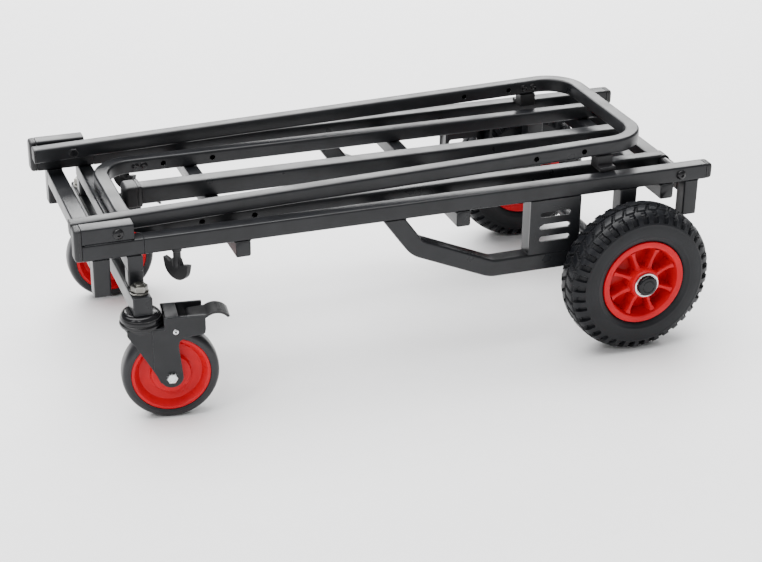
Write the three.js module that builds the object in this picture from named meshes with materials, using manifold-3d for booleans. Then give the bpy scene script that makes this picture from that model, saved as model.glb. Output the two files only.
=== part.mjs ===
// Convertible hand truck, folded down as a low platform cart.
// +X points to the big wheels (the rear), -X to the casters (the front), +Y to the right side, +Z up.
// The origin is on the floor under the middle of the overall length. Millimetres.
// Pieces are laid out with x counted from the rear axle; the whole is shifted once, at the end.
import * as THREE from "three";
import { mergeVertices } from "three/addons/utils/BufferGeometryUtils.js";
import Module from "manifold-3d";

const wasm = await Module();
wasm.setup();

// Clearances
const GAP = 0.3; // between neighbours that are fixed together
const SLIDE_FIT = 0.35; // each side, inner rail in rear rail
const BORE_FIT = 0.3; // on the radius, around a bolt, pin or axle
const PLUG_FIT = 0.3; // each side, plug in a tube
const HOOP_FIT = 3.5; // each side, rear hoop between the arms of the front hoop

// Side rails
const RAIL = 22; // outside of the square tube
const RAIL_WALL = 1.2;
const TUBE_CORNER = 2.2;
const RAIL_SPREAD = 313; // between the middles of the two rails
const RAIL_TOP = 244;
const REAR_RAIL_LENGTH = 802;
const REAR_OVERHANG = 119; // rear rail past the axle
const SLEEVE_LENGTH = 78.5;
const INNER_RAIL_STOP = 59; // inner rail short of the rear rail's end when pushed home
const INNER_RAIL_REACH = REAR_RAIL_LENGTH - INNER_RAIL_STOP;
const INNER_RAIL_WALL = 1.2;
const CAP_LENGTH = 9.5;
const CAP_ROUND = 4;
const PLUG_LENGTH = 12;

// Crossbars and legs
const BAR_WIDTH = 20;
const BAR_HEIGHT = 21.7;
const BAR_WALL = 1.5;
const BAR_COUNT = 3;
const FIRST_BAR_SETBACK = 128.7; // from the front end of the rear rail
const LAST_BAR_SETBACK = 60.3; // from its rear end
const LAST_BAR_X = REAR_OVERHANG - LAST_BAR_SETBACK;
const BAR_RUN = REAR_RAIL_LENGTH - FIRST_BAR_SETBACK - LAST_BAR_SETBACK;
const BAR_PITCH = BAR_RUN / (BAR_COUNT - 1);
const LEG_HEIGHT = 51;
const REAR_LEG_SETBACK = 10.5; // from the end of the rail
const FRONT_LEG_SETBACK = 12;

// Centre tube
const CENTRE_TUBE = 25;
const CENTRE_TUBE_SETBACK = 33; // from the front end of the rear rail
const CENTRE_TUBE_REAR_X = 68;
const CENTRE_TUBE_INSET = REAR_OVERHANG - CENTRE_TUBE_REAR_X;
const CENTRE_TUBE_LENGTH = REAR_RAIL_LENGTH - CENTRE_TUBE_SETBACK - CENTRE_TUBE_INSET;
const BOOT_SIZE = 30;
const BOOT_LENGTH = 24;

// Side truss, axle post and side plate
const TRUSS_TUBE = 25;
const TRUSS_WALL = 1.5;
const TRUSS_BEND = 34;
const TRUSS_LINE_Z = 129.5; // middle of the level run
const TRUSS_CORNERS_X = [-203, -313, -350];
const TRUSS_KNEE_Z = 176.5;
const AXLE_LUG_LENGTH = 34;
const PLATE_FRONT_X = -149;
const PLATE_LENGTH = 76;
const PLATE_THICKNESS = 3;
const PLATE_SLOTS = 3;
const SLOT_LENGTH = 46;
const SLOT_HEIGHT = 8;
const SLOT_PITCH = 18;

// Rear wheels
const AXLE_DIAMETER = 16;
const AXLE_COLLAR_DIAMETER = 26;
const WHEEL_OUTSET = 45; // middle of the tyre outside the middle of the rail
const WHEEL_TRACK = RAIL_SPREAD + 2 * WHEEL_OUTSET;
const TYRE_RADIUS = 106.5;
const TYRE_WIDTH = 62;
const TYRE_WALL = 6;
const TREAD_NOTCHES = 24;
const NOTCH_WIDTH = 6;
const NOTCH_DEPTH = 3.5;
const RIM_RADIUS = 60.9;
const RIM_WIDTH = 56;
const RIM_FACE = 9; // width of the flange ring
const RIM_BARREL = 4;
const RIM_WEB = 4;
const SPOKES = 8;
const SPOKE_WIDTH = 4;
const SPOKE_DEPTH = 18;
const HUB_RADIUS = 22;
const HUB_OVERHANG = 34.5; // outer end of the hub from the middle of the tyre
const HUB_END = WHEEL_TRACK / 2 + HUB_OVERHANG;
const AXLE_WASHER_RADIUS = 17.5;
const AXLE_WASHER = 2;
const AXLE_CAP_RADIUS = 14.5;
const AXLE_CAP_LENGTH = 5.4;

// Front frame
const HANDLE_BLOCK_LENGTH = 66.5;
const HANDLE_BLOCK_HEIGHT = 21.7;
const BRIDGE_SETBACK = 66; // middle of the bridge from the front end of the sleeves
const POST_HEIGHT = 22;
const BEAM = 25;
const CASTER_OUTSET = 26.5; // swivel axis outside the middle of the rail
const CASTER_SPREAD = RAIL_SPREAD + 2 * CASTER_OUTSET;
const BEAM_OVERHANG = 17; // beam past the swivel axis
const BEAM_LENGTH = CASTER_SPREAD + 2 * BEAM_OVERHANG;
const BEAM_WALL = 2;

// Hoops
const HOOP_TUBE = 20;
const HOOP_WALL = 1.5;
const HOOP_CORNER = 3;
const HOOP_BEND = 58; // outside radius
const FRONT_HOOP_WIDTH = 279;
const FRONT_HOOP_REACH = 763; // pivot to outer end
const FRONT_HOOP_TAIL = 52;
const FRONT_HOOP_TILT = THREE.MathUtils.degToRad(1.62);
const FRONT_PIVOT_SETBACK = 46; // from the front end of the sleeves
const DRAW = 38; // how far the front hoop draws out along its slots
const FRONT_HOOP_HOLES = [585, 657];
const REAR_HOOP_REACH = 779;
const REAR_PIVOT_OVERHANG = 39.8; // from the rear end of the rails
const REAR_HOOP_HOLES = [603, 674];
const REAR_HOOP_BUTTONS = [702, 714];
const HOOP_HOLE = 8;
const BUTTON_RADIUS = 4.5;
const BUTTON_HEIGHT = 2;
const REST_PAD_LENGTH = 30;
const REST_PAD_X = 674; // from the front pivot
const REST_PAD_OVERLAP = 5; // over the rail
const BOLT = 8;
const BOLT_HEAD_RADIUS = 7;
const BOLT_HEAD = 4;
const SHOULDER_RADIUS = 7.5;

// Wing screws that lock the extension
const WING_SETBACK = 43.5; // from the front end of the rear rail
const WING_X = REAR_OVERHANG - REAR_RAIL_LENGTH + WING_SETBACK;
const WING_BOSS_RADIUS = 6.5;
const WING_BOSS = 11;
const WING_SPAN = 40;
const WING_HEIGHT = 33;
const WING_THICKNESS = 7;

// Casters
const CASTER_TURN = { left: THREE.MathUtils.degToRad(-7), right: 0 };
const CASTER_TRAIL = 34.5;
const CASTER_RADIUS = 63.5;
const TREAD_WIDTH = 30;
const TREAD_BORE = 52;
const CASTER_BOSS_RADIUS = 12;
const CASTER_DISC_RADIUS = 25.7;
const CASTER_RIM_INNER = 41;
const STEM_DIAMETER = 12;
const STEM_NUT = 19; // across flats
const STEM_NUT_HEIGHT = 9;
const STEM_WASHER_RADIUS = 12;
const STEM_WASHER = 2.4;
const HEAD_RADIUS = 27;
const UPPER_RING = 5.4;
const LOWER_RING = 13;
const FORK_HALF_WIDTH = 22;
const FORK_PLATE = 3;
const FORK_END_RADIUS = 15;
const HOUSING_START = 27; // from the stem axis
const HOUSING_END = 80;
const HOUSING_TOP = 150;
const PEDAL_PIVOT = { x: 64, z: 138 };
const PEDAL_BOSS = 6;
const PEDAL_WIDTH = 30;
const PEDAL_SHEET = 3.2;
const PEDAL_REACH = 110; // from the stem axis

const RAIL_Y = RAIL_SPREAD / 2;
const RAIL_OUTER_Y = RAIL_Y + RAIL / 2;
const RAIL_INNER_Y = RAIL_Y - RAIL / 2;
const RAIL_BOTTOM = RAIL_TOP - RAIL;
const RAIL_BORE = RAIL - 2 * RAIL_WALL;
const REAR_RAIL_FRONT_X = REAR_OVERHANG - REAR_RAIL_LENGTH;
const SLEEVE_REAR_X = REAR_RAIL_FRONT_X - GAP;
const SLEEVE_FRONT_X = SLEEVE_REAR_X - SLEEVE_LENGTH;
const FRONT_X = SLEEVE_FRONT_X - GAP - CAP_LENGTH;
const REAR_X = REAR_OVERHANG + GAP + CAP_LENGTH;
const UNDER_RAIL = RAIL_BOTTOM - GAP;
const BRIDGE_X = SLEEVE_FRONT_X + BRIDGE_SETBACK;
const BEAM_TOP = UNDER_RAIL - BAR_HEIGHT - POST_HEIGHT;
const BEAM_BOTTOM = BEAM_TOP - BEAM;
const TRUSS_TOP = TRUSS_LINE_Z + TRUSS_TUBE / 2;
const AXLE_Z = TYRE_RADIUS;
const FRONT_PIVOT = {
  x: SLEEVE_FRONT_X + FRONT_PIVOT_SETBACK,
  z: RAIL_TOP + GAP + HANDLE_BLOCK_HEIGHT / 2,
};
const REAR_PIVOT = { x: REAR_OVERHANG - REAR_PIVOT_OVERHANG, z: RAIL_TOP - RAIL / 2 };
const REAR_HOOP_WIDTH = FRONT_HOOP_WIDTH - 2 * (HOOP_TUBE + HOOP_FIT);
const HUB_START = RAIL_OUTER_Y + 5;
const FINE = 28; // segments round a wheel
const COARSE = 12; // segments round a bolt

const paint = (color, roughness = 0.45, metalness = 0.6) => () =>
  new THREE.MeshStandardMaterial({ color, roughness, metalness });
const BLACK_STEEL = paint(0x2b2c2f);
const ZINC = paint(0xc4c6c8, 0.3, 1);
const BLACK_PLASTIC = paint(0x1c1c1e, 0.6, 0);
const RED_PLASTIC = paint(0xc8202a, 0.4, 0);
const RUBBER = paint(0x1a1a1b, 0.85, 0);

// ---- Joining and cutting ----

function solidOf(geometry) {
  const plain = new THREE.BufferGeometry();
  const source = geometry.index ? geometry.toNonIndexed() : geometry;
  plain.setAttribute("position", source.getAttribute("position").clone());
  const merged = mergeVertices(plain, 1e-4);
  const corners = [];
  for (let i = 0; i < merged.index.count; i += 3) {
    const [a, b, c] = merged.index.array.slice(i, i + 3);
    if (a !== b && b !== c && c !== a) corners.push(a, b, c);
  }
  return new wasm.Manifold(
    new wasm.Mesh({
      numProp: 3,
      vertProperties: merged.attributes.position.array,
      triVerts: new Uint32Array(corners),
    }),
  );
}

function geometryOf(solid) {
  const mesh = solid.getMesh();
  const geometry = new THREE.BufferGeometry();
  geometry.setAttribute("position", new THREE.BufferAttribute(mesh.vertProperties, 3));
  geometry.setIndex(new THREE.BufferAttribute(mesh.triVerts, 1));
  const faceted = geometry.toNonIndexed();
  faceted.computeVertexNormals();
  return faceted;
}

function join(first, ...others) {
  return geometryOf(others.reduce((sum, other) => sum.add(solidOf(other)), solidOf(first)));
}

function cut(body, ...tools) {
  return geometryOf(tools.reduce((rest, tool) => rest.subtract(solidOf(tool)), solidOf(body)));
}

// ---- Basic solids ----

function block(x, y, z) {
  return new THREE.BoxGeometry(x[1] - x[0], y[1] - y[0], z[1] - z[0]).translate(
    (x[0] + x[1]) / 2,
    (y[0] + y[1]) / 2,
    (z[0] + z[1]) / 2,
  );
}

function roundedRectangle(width, height, radius) {
  const x = width / 2;
  const y = height / 2;
  const shape = new THREE.Shape();
  shape.moveTo(radius - x, -y);
  shape.absarc(x - radius, radius - y, radius, -Math.PI / 2, 0);
  shape.absarc(x - radius, y - radius, radius, 0, Math.PI / 2);
  shape.absarc(radius - x, y - radius, radius, Math.PI / 2, Math.PI);
  shape.absarc(radius - x, radius - y, radius, Math.PI, 1.5 * Math.PI);
  return shape;
}

// A square bar along z from 0, with rounded edges and, where wall is given, open as a tube.
function bar(width, height, length, wall, corner = TUBE_CORNER) {
  const shape = roundedRectangle(width, height, corner);
  if (wall) shape.holes.push(roundedRectangle(width - 2 * wall, height - 2 * wall, corner - wall));
  return new THREE.ExtrudeGeometry(shape, { depth: length, bevelEnabled: false, curveSegments: 1 });
}

function barAlongX([from, to], y, z, width, height, wall, corner) {
  return bar(height, width, to - from, wall, corner).rotateY(Math.PI / 2).translate(from, y, z);
}

function barAlongY([from, to], x, z, width, height, wall, corner) {
  return bar(width, height, to - from, wall, corner).rotateX(-Math.PI / 2).translate(x, from, z);
}

function barAlongZ([from, to], x, y, width, depth, wall, corner) {
  return bar(width, depth, to - from, wall, corner).translate(x, y, from);
}

// A round bar along y.
function rod(radius, [from, to], x, z, segments = COARSE) {
  return new THREE.CylinderGeometry(radius, radius, to - from, segments).translate(x, (from + to) / 2, z);
}

// A solid of revolution about y from [radius, y] corners, given anticlockwise.
function revolve(corners, segments = FINE) {
  const onAxis = corners[0][0] === 0;
  const loop = onAxis ? corners : [...corners, corners[0]];
  return new THREE.LatheGeometry(
    loop.map(([radius, y]) => new THREE.Vector2(radius, y)),
    segments,
  );
}

// A plate in the xz plane from [x, z] corners, between two y values.
function plate(corners, [from, to]) {
  const drawn = corners instanceof THREE.Shape;
  const shape = drawn ? corners : new THREE.Shape(corners.map(([x, z]) => new THREE.Vector2(x, z)));
  return new THREE.ExtrudeGeometry(shape, { depth: to - from, bevelEnabled: false, curveSegments: 10 })
    .rotateX(Math.PI / 2)
    .translate(0, to, 0);
}

function arcPoints(x, z, radius, startDegrees, endDegrees, steps) {
  return Array.from({ length: steps + 1 }, (_, i) => {
    const angle = THREE.MathUtils.degToRad(startDegrees + ((endDegrees - startDegrees) * i) / steps);
    return [x + radius * Math.cos(angle), z + radius * Math.sin(angle)];
  });
}

// ---- Bent tubes ----

// A flat path through the corners, each one rounded; every stop has its heading.
function roundedPath(corners, radius, steps) {
  const headingOf = ([x0, y0], [x1, y1]) => Math.atan2(y1 - y0, x1 - x0);
  const stops = [];
  corners.forEach((corner, i) => {
    const before = corners[i - 1];
    const after = corners[i + 1];
    if (!before || !after) {
      const heading = before ? headingOf(before, corner) : headingOf(corner, after);
      stops.push({ x: corner[0], y: corner[1], heading });
      return;
    }
    const arrive = headingOf(before, corner);
    const swing = headingOf(corner, after) - arrive;
    const turn = THREE.MathUtils.euclideanModulo(swing + Math.PI, 2 * Math.PI) - Math.PI;
    const reach = radius * Math.tan(Math.abs(turn) / 2);
    const lean = Math.sign(turn) * radius;
    const centreX = corner[0] - reach * Math.cos(arrive) - lean * Math.sin(arrive);
    const centreY = corner[1] - reach * Math.sin(arrive) + lean * Math.cos(arrive);
    for (let step = 0; step <= steps; step += 1) {
      const heading = arrive + (turn * step) / steps;
      stops.push({
        x: centreX + lean * Math.sin(heading),
        y: centreY - lean * Math.cos(heading),
        heading,
      });
    }
  });
  return stops;
}

// Sweeps a square section along frames whose across x up points along the path.
function sweep(size, corner, frames) {
  const ring = roundedRectangle(size, size, corner).extractPoints(1).shape;
  if (THREE.ShapeUtils.isClockWise(ring)) ring.reverse();
  const count = ring.length;
  const positions = frames.flatMap(({ at, across, up }) =>
    ring.flatMap((p) => at.clone().addScaledVector(across, p.x).addScaledVector(up, p.y).toArray()),
  );
  const faces = [];
  for (let k = 0; k < frames.length - 1; k += 1) {
    for (let i = 0; i < count; i += 1) {
      const a = k * count + i;
      const b = k * count + ((i + 1) % count);
      faces.push(a, b, b + count, a, b + count, a + count);
    }
  }
  const last = (frames.length - 1) * count;
  THREE.ShapeUtils.triangulateShape(ring, []).forEach(([a, b, c]) => {
    faces.push(a, c, b, last + a, last + b, last + c);
  });
  const geometry = new THREE.BufferGeometry();
  geometry.setAttribute("position", new THREE.Float32BufferAttribute(positions, 3));
  geometry.setIndex(faces);
  return geometry;
}

const levelFrames = (path) =>
  path.map(({ x, y, heading }) => ({
    at: new THREE.Vector3(x, y, 0),
    across: new THREE.Vector3(-Math.sin(heading), Math.cos(heading), 0),
    up: new THREE.Vector3(0, 0, 1),
  }));

const uprightFrames = (path, sideY) =>
  path.map(({ x, y, heading }) => ({
    at: new THREE.Vector3(x, sideY, y),
    across: new THREE.Vector3(0, 1, 0),
    up: new THREE.Vector3(-Math.sin(heading), 0, Math.cos(heading)),
  }));

// A U-shaped hoop in its own frame: pivot axis through the origin, arms along +x, tails behind it.
function hoop(width, reach, tail, boreTail) {
  const y = (width - HOOP_TUBE) / 2;
  const x = reach - HOOP_TUBE / 2;
  const bend = HOOP_BEND - HOOP_TUBE / 2;
  const pathFrom = (start) => levelFrames(roundedPath([[-start, -y], [x, -y], [x, y], [-start, y]], bend, 4));
  return cut(
    sweep(HOOP_TUBE, HOOP_CORNER, pathFrom(tail)),
    sweep(HOOP_TUBE - 2 * HOOP_WALL, HOOP_CORNER - HOOP_WALL, pathFrom(boreTail)),
  );
}

// Round heads standing on the inner faces of a hoop's arms.
function buttons(positions, armInnerY) {
  return positions.flatMap((x) =>
    [-1, 1].map((side) => {
      const inner = side * (armInnerY - BUTTON_HEIGHT);
      const seated = side * (armInnerY + HOOP_WALL / 2);
      return rod(BUTTON_RADIUS, [Math.min(inner, seated), Math.max(inner, seated)], x, 0, 12);
    }),
  );
}

const holesAcross = (positions, width) => positions.map((x) => rod(HOOP_HOLE / 2, [-width, width], x, 0, 12));

// ---- The assembly ----

const group = new THREE.Group();
const truck = new THREE.Group();
truck.position.x = -(FRONT_X + REAR_X) / 2;
group.add(truck);

function add(name, geometry, material, parent = truck) {
  const mesh = new THREE.Mesh(geometry, material());
  mesh.name = name;
  parent.add(mesh);
  return mesh;
}

// The geometry is the right-hand piece; the left-hand one is its mirror image.
function addPair(name, geometry, material, parent = truck) {
  add(`${name}_right`, geometry, material, parent);
  add(`${name}_left`, geometry, material, parent).scale.y = -1;
}

// ---- Rear frame ----

const boltHole = (x, z, y) => rod(BOLT / 2 + BORE_FIT, y, x, z);
const acrossRail = [RAIL_INNER_Y - 1, RAIL_OUTER_Y + 1];

addPair(
  "rear_rail",
  cut(
    barAlongX([REAR_RAIL_FRONT_X, REAR_OVERHANG], RAIL_Y, RAIL_TOP - RAIL / 2, RAIL, RAIL, RAIL_WALL),
    boltHole(REAR_PIVOT.x, REAR_PIVOT.z, acrossRail),
  ),
  BLACK_STEEL,
);

// A plastic end: a rounded face with a plug, facing +x from x = 0.
function endCap(width, height, plug) {
  const face = bar(height, width, CAP_LENGTH - CAP_ROUND, 0, CAP_ROUND).rotateY(Math.PI / 2);
  const nose = bar(height - CAP_ROUND, width - CAP_ROUND, CAP_ROUND + 1, 0, CAP_ROUND / 2)
    .rotateY(Math.PI / 2)
    .translate(CAP_LENGTH - CAP_ROUND - 1, 0, 0);
  const stub = block([-PLUG_LENGTH, 1], [-plug / 2, plug / 2], [-plug / 2, plug / 2]);
  return { face, nose, stub };
}

const rearCap = endCap(RAIL, RAIL, RAIL_BORE - 2 * PLUG_FIT);
addPair(
  "rear_end_cap",
  join(rearCap.face, rearCap.nose, rearCap.stub).translate(REAR_OVERHANG + GAP, RAIL_Y, RAIL_TOP - RAIL / 2),
  BLACK_PLASTIC,
);

for (let i = 0; i < BAR_COUNT; i += 1) {
  const x = LAST_BAR_X - (BAR_COUNT - 1 - i) * BAR_PITCH;
  const span = [-RAIL_OUTER_Y, RAIL_OUTER_Y];
  const z = UNDER_RAIL - BAR_HEIGHT / 2;
  add(`crossbar_${i + 1}`, barAlongY(span, x, z, BAR_WIDTH, BAR_HEIGHT, BAR_WALL), BLACK_STEEL);
}

function leg(x) {
  return barAlongZ([UNDER_RAIL - LEG_HEIGHT, UNDER_RAIL], x, RAIL_Y, RAIL, RAIL, RAIL_WALL);
}

const rearLegX = REAR_OVERHANG - REAR_LEG_SETBACK - RAIL / 2;
const betweenLegs = [GAP - RAIL_INNER_Y, RAIL_INNER_Y - GAP];
addPair("rear_leg", leg(rearLegX), BLACK_STEEL);
add(
  "rear_end_bar",
  barAlongY(betweenLegs, rearLegX, UNDER_RAIL - BAR_HEIGHT / 2, RAIL, BAR_HEIGHT, BAR_WALL),
  BLACK_STEEL,
);

const centreTubeFrontX = CENTRE_TUBE_REAR_X - CENTRE_TUBE_LENGTH;
const centreTubeZ = RAIL_BOTTOM + CENTRE_TUBE / 2;
add(
  "centre_tube",
  barAlongX([centreTubeFrontX, CENTRE_TUBE_REAR_X], 0, centreTubeZ, CENTRE_TUBE, CENTRE_TUBE, BAR_WALL),
  BLACK_STEEL,
);
const bootPlug = CENTRE_TUBE - 2 * BAR_WALL - 2 * PLUG_FIT;
add(
  "centre_tube_boot",
  join(
    barAlongX(
      [centreTubeFrontX - GAP - BOOT_LENGTH, centreTubeFrontX - GAP],
      0,
      centreTubeZ,
      BOOT_SIZE,
      BOOT_SIZE,
      0,
      3,
    ),
    block(
      [centreTubeFrontX - GAP - 1, centreTubeFrontX + PLUG_LENGTH],
      [-bootPlug / 2, bootPlug / 2],
      [centreTubeZ - bootPlug / 2, centreTubeZ + bootPlug / 2],
    ),
  ),
  BLACK_PLASTIC,
);

// The bent tube runs from under the rail down to the axle, where a lug holds the axle.
const [trussLowX, trussKneeX, trussTopX] = TRUSS_CORNERS_X;
const trussY = RAIL_OUTER_Y - TRUSS_TUBE / 2;
function trussRun(extra) {
  const start = TRUSS_TUBE / 2 + extra;
  const path = roundedPath(
    [[start, TRUSS_LINE_Z], [trussLowX, TRUSS_LINE_Z], [trussKneeX, TRUSS_KNEE_Z], [trussTopX, RAIL_TOP]],
    TRUSS_BEND,
    3,
  );
  return uprightFrames(path, trussY);
}
const acrossTruss = [trussY - TRUSS_TUBE / 2, trussY + TRUSS_TUBE / 2];
addPair(
  "side_truss",
  cut(
    join(
      cut(
        sweep(TRUSS_TUBE, TUBE_CORNER, trussRun(0)),
        sweep(TRUSS_TUBE - 2 * TRUSS_WALL, TUBE_CORNER - TRUSS_WALL, trussRun(1)),
      ),
      block(
        [-AXLE_LUG_LENGTH / 2, AXLE_LUG_LENGTH / 2],
        acrossTruss,
        [AXLE_Z - AXLE_DIAMETER, TRUSS_LINE_Z - TRUSS_TUBE / 2 + TRUSS_WALL / 2],
      ),
    ),
    block([trussTopX - 50, trussKneeX + 50], [acrossTruss[0] - 1, acrossTruss[1] + 1], [UNDER_RAIL, RAIL_TOP + 50]),
    rod(AXLE_DIAMETER / 2 + BORE_FIT, [acrossTruss[0] - 1, acrossTruss[1] + 1], 0, AXLE_Z, 20),
  ),
  BLACK_STEEL,
);

addPair(
  "axle_post",
  barAlongZ([TRUSS_TOP + GAP, UNDER_RAIL], 0, trussY, TRUSS_TUBE, TRUSS_TUBE, TRUSS_WALL),
  BLACK_STEEL,
);

// A channel-shaped plate between rail and truss, open to the inside, with a row of slots.
function sidePlate() {
  const x = [PLATE_FRONT_X, PLATE_FRONT_X + PLATE_LENGTH];
  const z = [TRUSS_TOP + GAP, UNDER_RAIL];
  const middleX = (x[0] + x[1]) / 2;
  const middleZ = (z[0] + z[1]) / 2;
  const channel = cut(
    block(x, [RAIL_OUTER_Y - TRUSS_TUBE, RAIL_OUTER_Y], z),
    block(
      [x[0] + PLATE_THICKNESS, x[1] - PLATE_THICKNESS],
      [0, RAIL_OUTER_Y - PLATE_THICKNESS],
      [z[0] - 1, z[1] + 1],
    ),
  );
  const slots = Array.from({ length: PLATE_SLOTS }, (_, i) =>
    barAlongY(
      [RAIL_OUTER_Y - TRUSS_TUBE / 2, RAIL_OUTER_Y + 1],
      middleX,
      middleZ + (i - (PLATE_SLOTS - 1) / 2) * SLOT_PITCH,
      SLOT_LENGTH,
      SLOT_HEIGHT,
      0,
      SLOT_HEIGHT / 2 - 0.05,
    ),
  );
  return cut(channel, ...slots);
}
addPair("side_plate", sidePlate(), BLACK_STEEL);

// Shoulder bolt through a rail and a hoop's arm: heads at both ends, a thick collar in the gap.
function pivotBolt(x, z, outerY, collar, innerY) {
  return join(
    rod(BOLT / 2, [innerY - BOLT_HEAD / 2, outerY + BOLT_HEAD / 2], x, z),
    rod(BOLT_HEAD_RADIUS, [outerY + GAP, outerY + GAP + BOLT_HEAD], x, z),
    rod(SHOULDER_RADIUS, collar, x, z),
    rod(BOLT_HEAD_RADIUS, [innerY - GAP - BOLT_HEAD, innerY - GAP], x, z),
  );
}

const rearArmY = REAR_HOOP_WIDTH / 2;
addPair(
  "rear_pivot_bolt",
  pivotBolt(REAR_PIVOT.x, REAR_PIVOT.z, RAIL_OUTER_Y, [rearArmY + GAP, RAIL_INNER_Y - GAP], rearArmY - HOOP_TUBE),
  ZINC,
);

// ---- Wing screws ----

function wingScrew() {
  const top = UNDER_RAIL - WING_BOSS;
  const half = WING_SPAN / 2;
  const blade = [
    [-half, top - 2],
    [-half + 2, top - 8],
    ...arcPoints(0, top - 8, half - 2, 200, 340, 10).map(([x, z]) => [x, Math.max(z, top - WING_HEIGHT)]),
    [half - 2, top - 8],
    [half, top - 2],
    [WING_BOSS_RADIUS, top + 2],
    [-WING_BOSS_RADIUS, top + 2],
  ];
  const boss = new THREE.CylinderGeometry(WING_BOSS_RADIUS, WING_BOSS_RADIUS, WING_BOSS + 8, COARSE)
    .rotateX(Math.PI / 2)
    .translate(0, 0, UNDER_RAIL - (WING_BOSS + 8) / 2);
  return join(boss, plate(blade, [-WING_THICKNESS / 2, WING_THICKNESS / 2])).translate(WING_X, RAIL_Y, 0);
}
addPair("lock_knob", wingScrew(), BLACK_PLASTIC);

// ---- Rear wheels ----

const wheelY = WHEEL_TRACK / 2;
const collarY = [RAIL_OUTER_Y + GAP, HUB_START - GAP];
const washerY = [HUB_END + GAP, HUB_END + GAP + AXLE_WASHER];
add(
  "rear_axle",
  join(
    rod(AXLE_DIAMETER / 2, [-washerY[1], washerY[1]], 0, AXLE_Z, 20),
    ...[-1, 1].flatMap((side) =>
      [
        [AXLE_COLLAR_DIAMETER / 2, collarY],
        [AXLE_WASHER_RADIUS, washerY],
      ].map(([radius, y]) => rod(radius, side < 0 ? [-y[1], -y[0]] : y, 0, AXLE_Z, 20)),
    ),
  ),
  ZINC,
);
addPair(
  "axle_cap",
  revolve(
    [
      [0, 0],
      [AXLE_CAP_RADIUS, 0],
      [AXLE_CAP_RADIUS, AXLE_CAP_LENGTH - 2],
      [AXLE_CAP_RADIUS - 2, AXLE_CAP_LENGTH],
      [0, AXLE_CAP_LENGTH],
    ],
    32,
  ).translate(0, washerY[1] + GAP, AXLE_Z),
  BLACK_PLASTIC,
);

// Spoked rim about the y axis; y is counted from the middle of the tyre, outwards positive.
function rim() {
  const half = RIM_WIDTH / 2;
  const barrel = RIM_RADIUS - RIM_FACE;
  const hub = [HUB_START - wheelY, HUB_END - wheelY];
  const bore = AXLE_DIAMETER / 2 + BORE_FIT;
  const shell = revolve([
    [barrel - RIM_BARREL, -half],
    [RIM_RADIUS, -half],
    [RIM_RADIUS, -half + 5],
    [barrel, -half + 9],
    [barrel, half - 9],
    [RIM_RADIUS, half - 5],
    [RIM_RADIUS, half],
    [barrel - RIM_BARREL, half],
  ]);
  const centre = revolve([
    [bore, hub[0]],
    [HUB_RADIUS, hub[0]],
    [HUB_RADIUS, hub[1]],
    [bore, hub[1]],
  ]);
  const web = revolve([
    [bore + 1, half - SPOKE_DEPTH - RIM_WEB],
    [barrel - 1, half - SPOKE_DEPTH - RIM_WEB],
    [barrel - 1, half - SPOKE_DEPTH],
    [bore + 1, half - SPOKE_DEPTH],
  ]);
  const spokes = Array.from({ length: SPOKES }, (_, i) =>
    block(
      [HUB_RADIUS - 2, barrel - 1],
      [half - SPOKE_DEPTH - 1, half - 3],
      [-SPOKE_WIDTH / 2, SPOKE_WIDTH / 2],
    ).rotateY(((i + 0.5) * 2 * Math.PI) / SPOKES),
  );
  return join(shell, centre, web, ...spokes);
}

// Hollow tyre casing, open to the rim, with notches round both shoulders.
function tyre() {
  const half = TYRE_WIDTH / 2;
  const bead = RIM_RADIUS - RIM_FACE + GAP;
  const seat = RIM_WIDTH / 2 - 9 - GAP;
  const flank = RIM_RADIUS + GAP;
  const lip = seat - TYRE_WALL;
  const crown = TYRE_RADIUS;
  const casing = revolve([
    [bead, -seat],
    [flank, -seat - 3.7],
    [flank, 4 - half],
    [flank + 12, -half],
    [crown - 20, -half],
    [crown - 6, 5 - half],
    [crown, 14 - half],
    [crown, half - 14],
    [crown - 6, half - 5],
    [crown - 20, half],
    [flank + 12, half],
    [flank, half - 4],
    [flank, seat + 3.7],
    [bead, seat],
    [bead, lip],
    [flank, lip],
    [flank + 12, half - TYRE_WALL],
    [crown - 20, half - TYRE_WALL],
    [crown - TYRE_WALL - 2, half - 14],
    [crown - TYRE_WALL - 2, 14 - half],
    [crown - 20, TYRE_WALL - half],
    [flank + 12, TYRE_WALL - half],
    [flank, -lip],
    [bead, -lip],
  ]);
  const notches = [];
  for (let i = 0; i < TREAD_NOTCHES; i += 1) {
    [-1, 1].forEach((side) => {
      const inner = side * (half - 16);
      const outer = side * (half + 1);
      notches.push(
        block(
          [-NOTCH_WIDTH / 2, NOTCH_WIDTH / 2],
          [Math.min(inner, outer), Math.max(inner, outer)],
          [crown - NOTCH_DEPTH, crown + 5],
        ).rotateY(((i + (side > 0 ? 0.25 : 0.75)) * 2 * Math.PI) / TREAD_NOTCHES),
      );
    });
  }
  return cut(casing, ...notches);
}

addPair("rear_rim", rim().translate(0, wheelY, AXLE_Z), RED_PLASTIC);
addPair("rear_tyre", tyre().translate(0, wheelY, AXLE_Z), RUBBER);

// ---- Front frame ----

const INNER_RAIL = RAIL_BORE - 2 * SLIDE_FIT;
const innerBore = INNER_RAIL - 2 * INNER_RAIL_WALL;
const railZ = RAIL_TOP - RAIL / 2;
const innerRailX = [SLEEVE_FRONT_X, REAR_RAIL_FRONT_X + INNER_RAIL_REACH];
addPair(
  "front_rail",
  cut(
    join(
      barAlongX([SLEEVE_FRONT_X, SLEEVE_REAR_X], RAIL_Y, railZ, RAIL, RAIL, 0),
      barAlongX([SLEEVE_FRONT_X + 1, innerRailX[1]], RAIL_Y, railZ, INNER_RAIL, INNER_RAIL, 0, 1.6),
    ),
    barAlongX([innerRailX[0] - 1, innerRailX[1] + 1], RAIL_Y, railZ, innerBore, innerBore, 0, 0.6),
  ),
  BLACK_STEEL,
);

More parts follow.
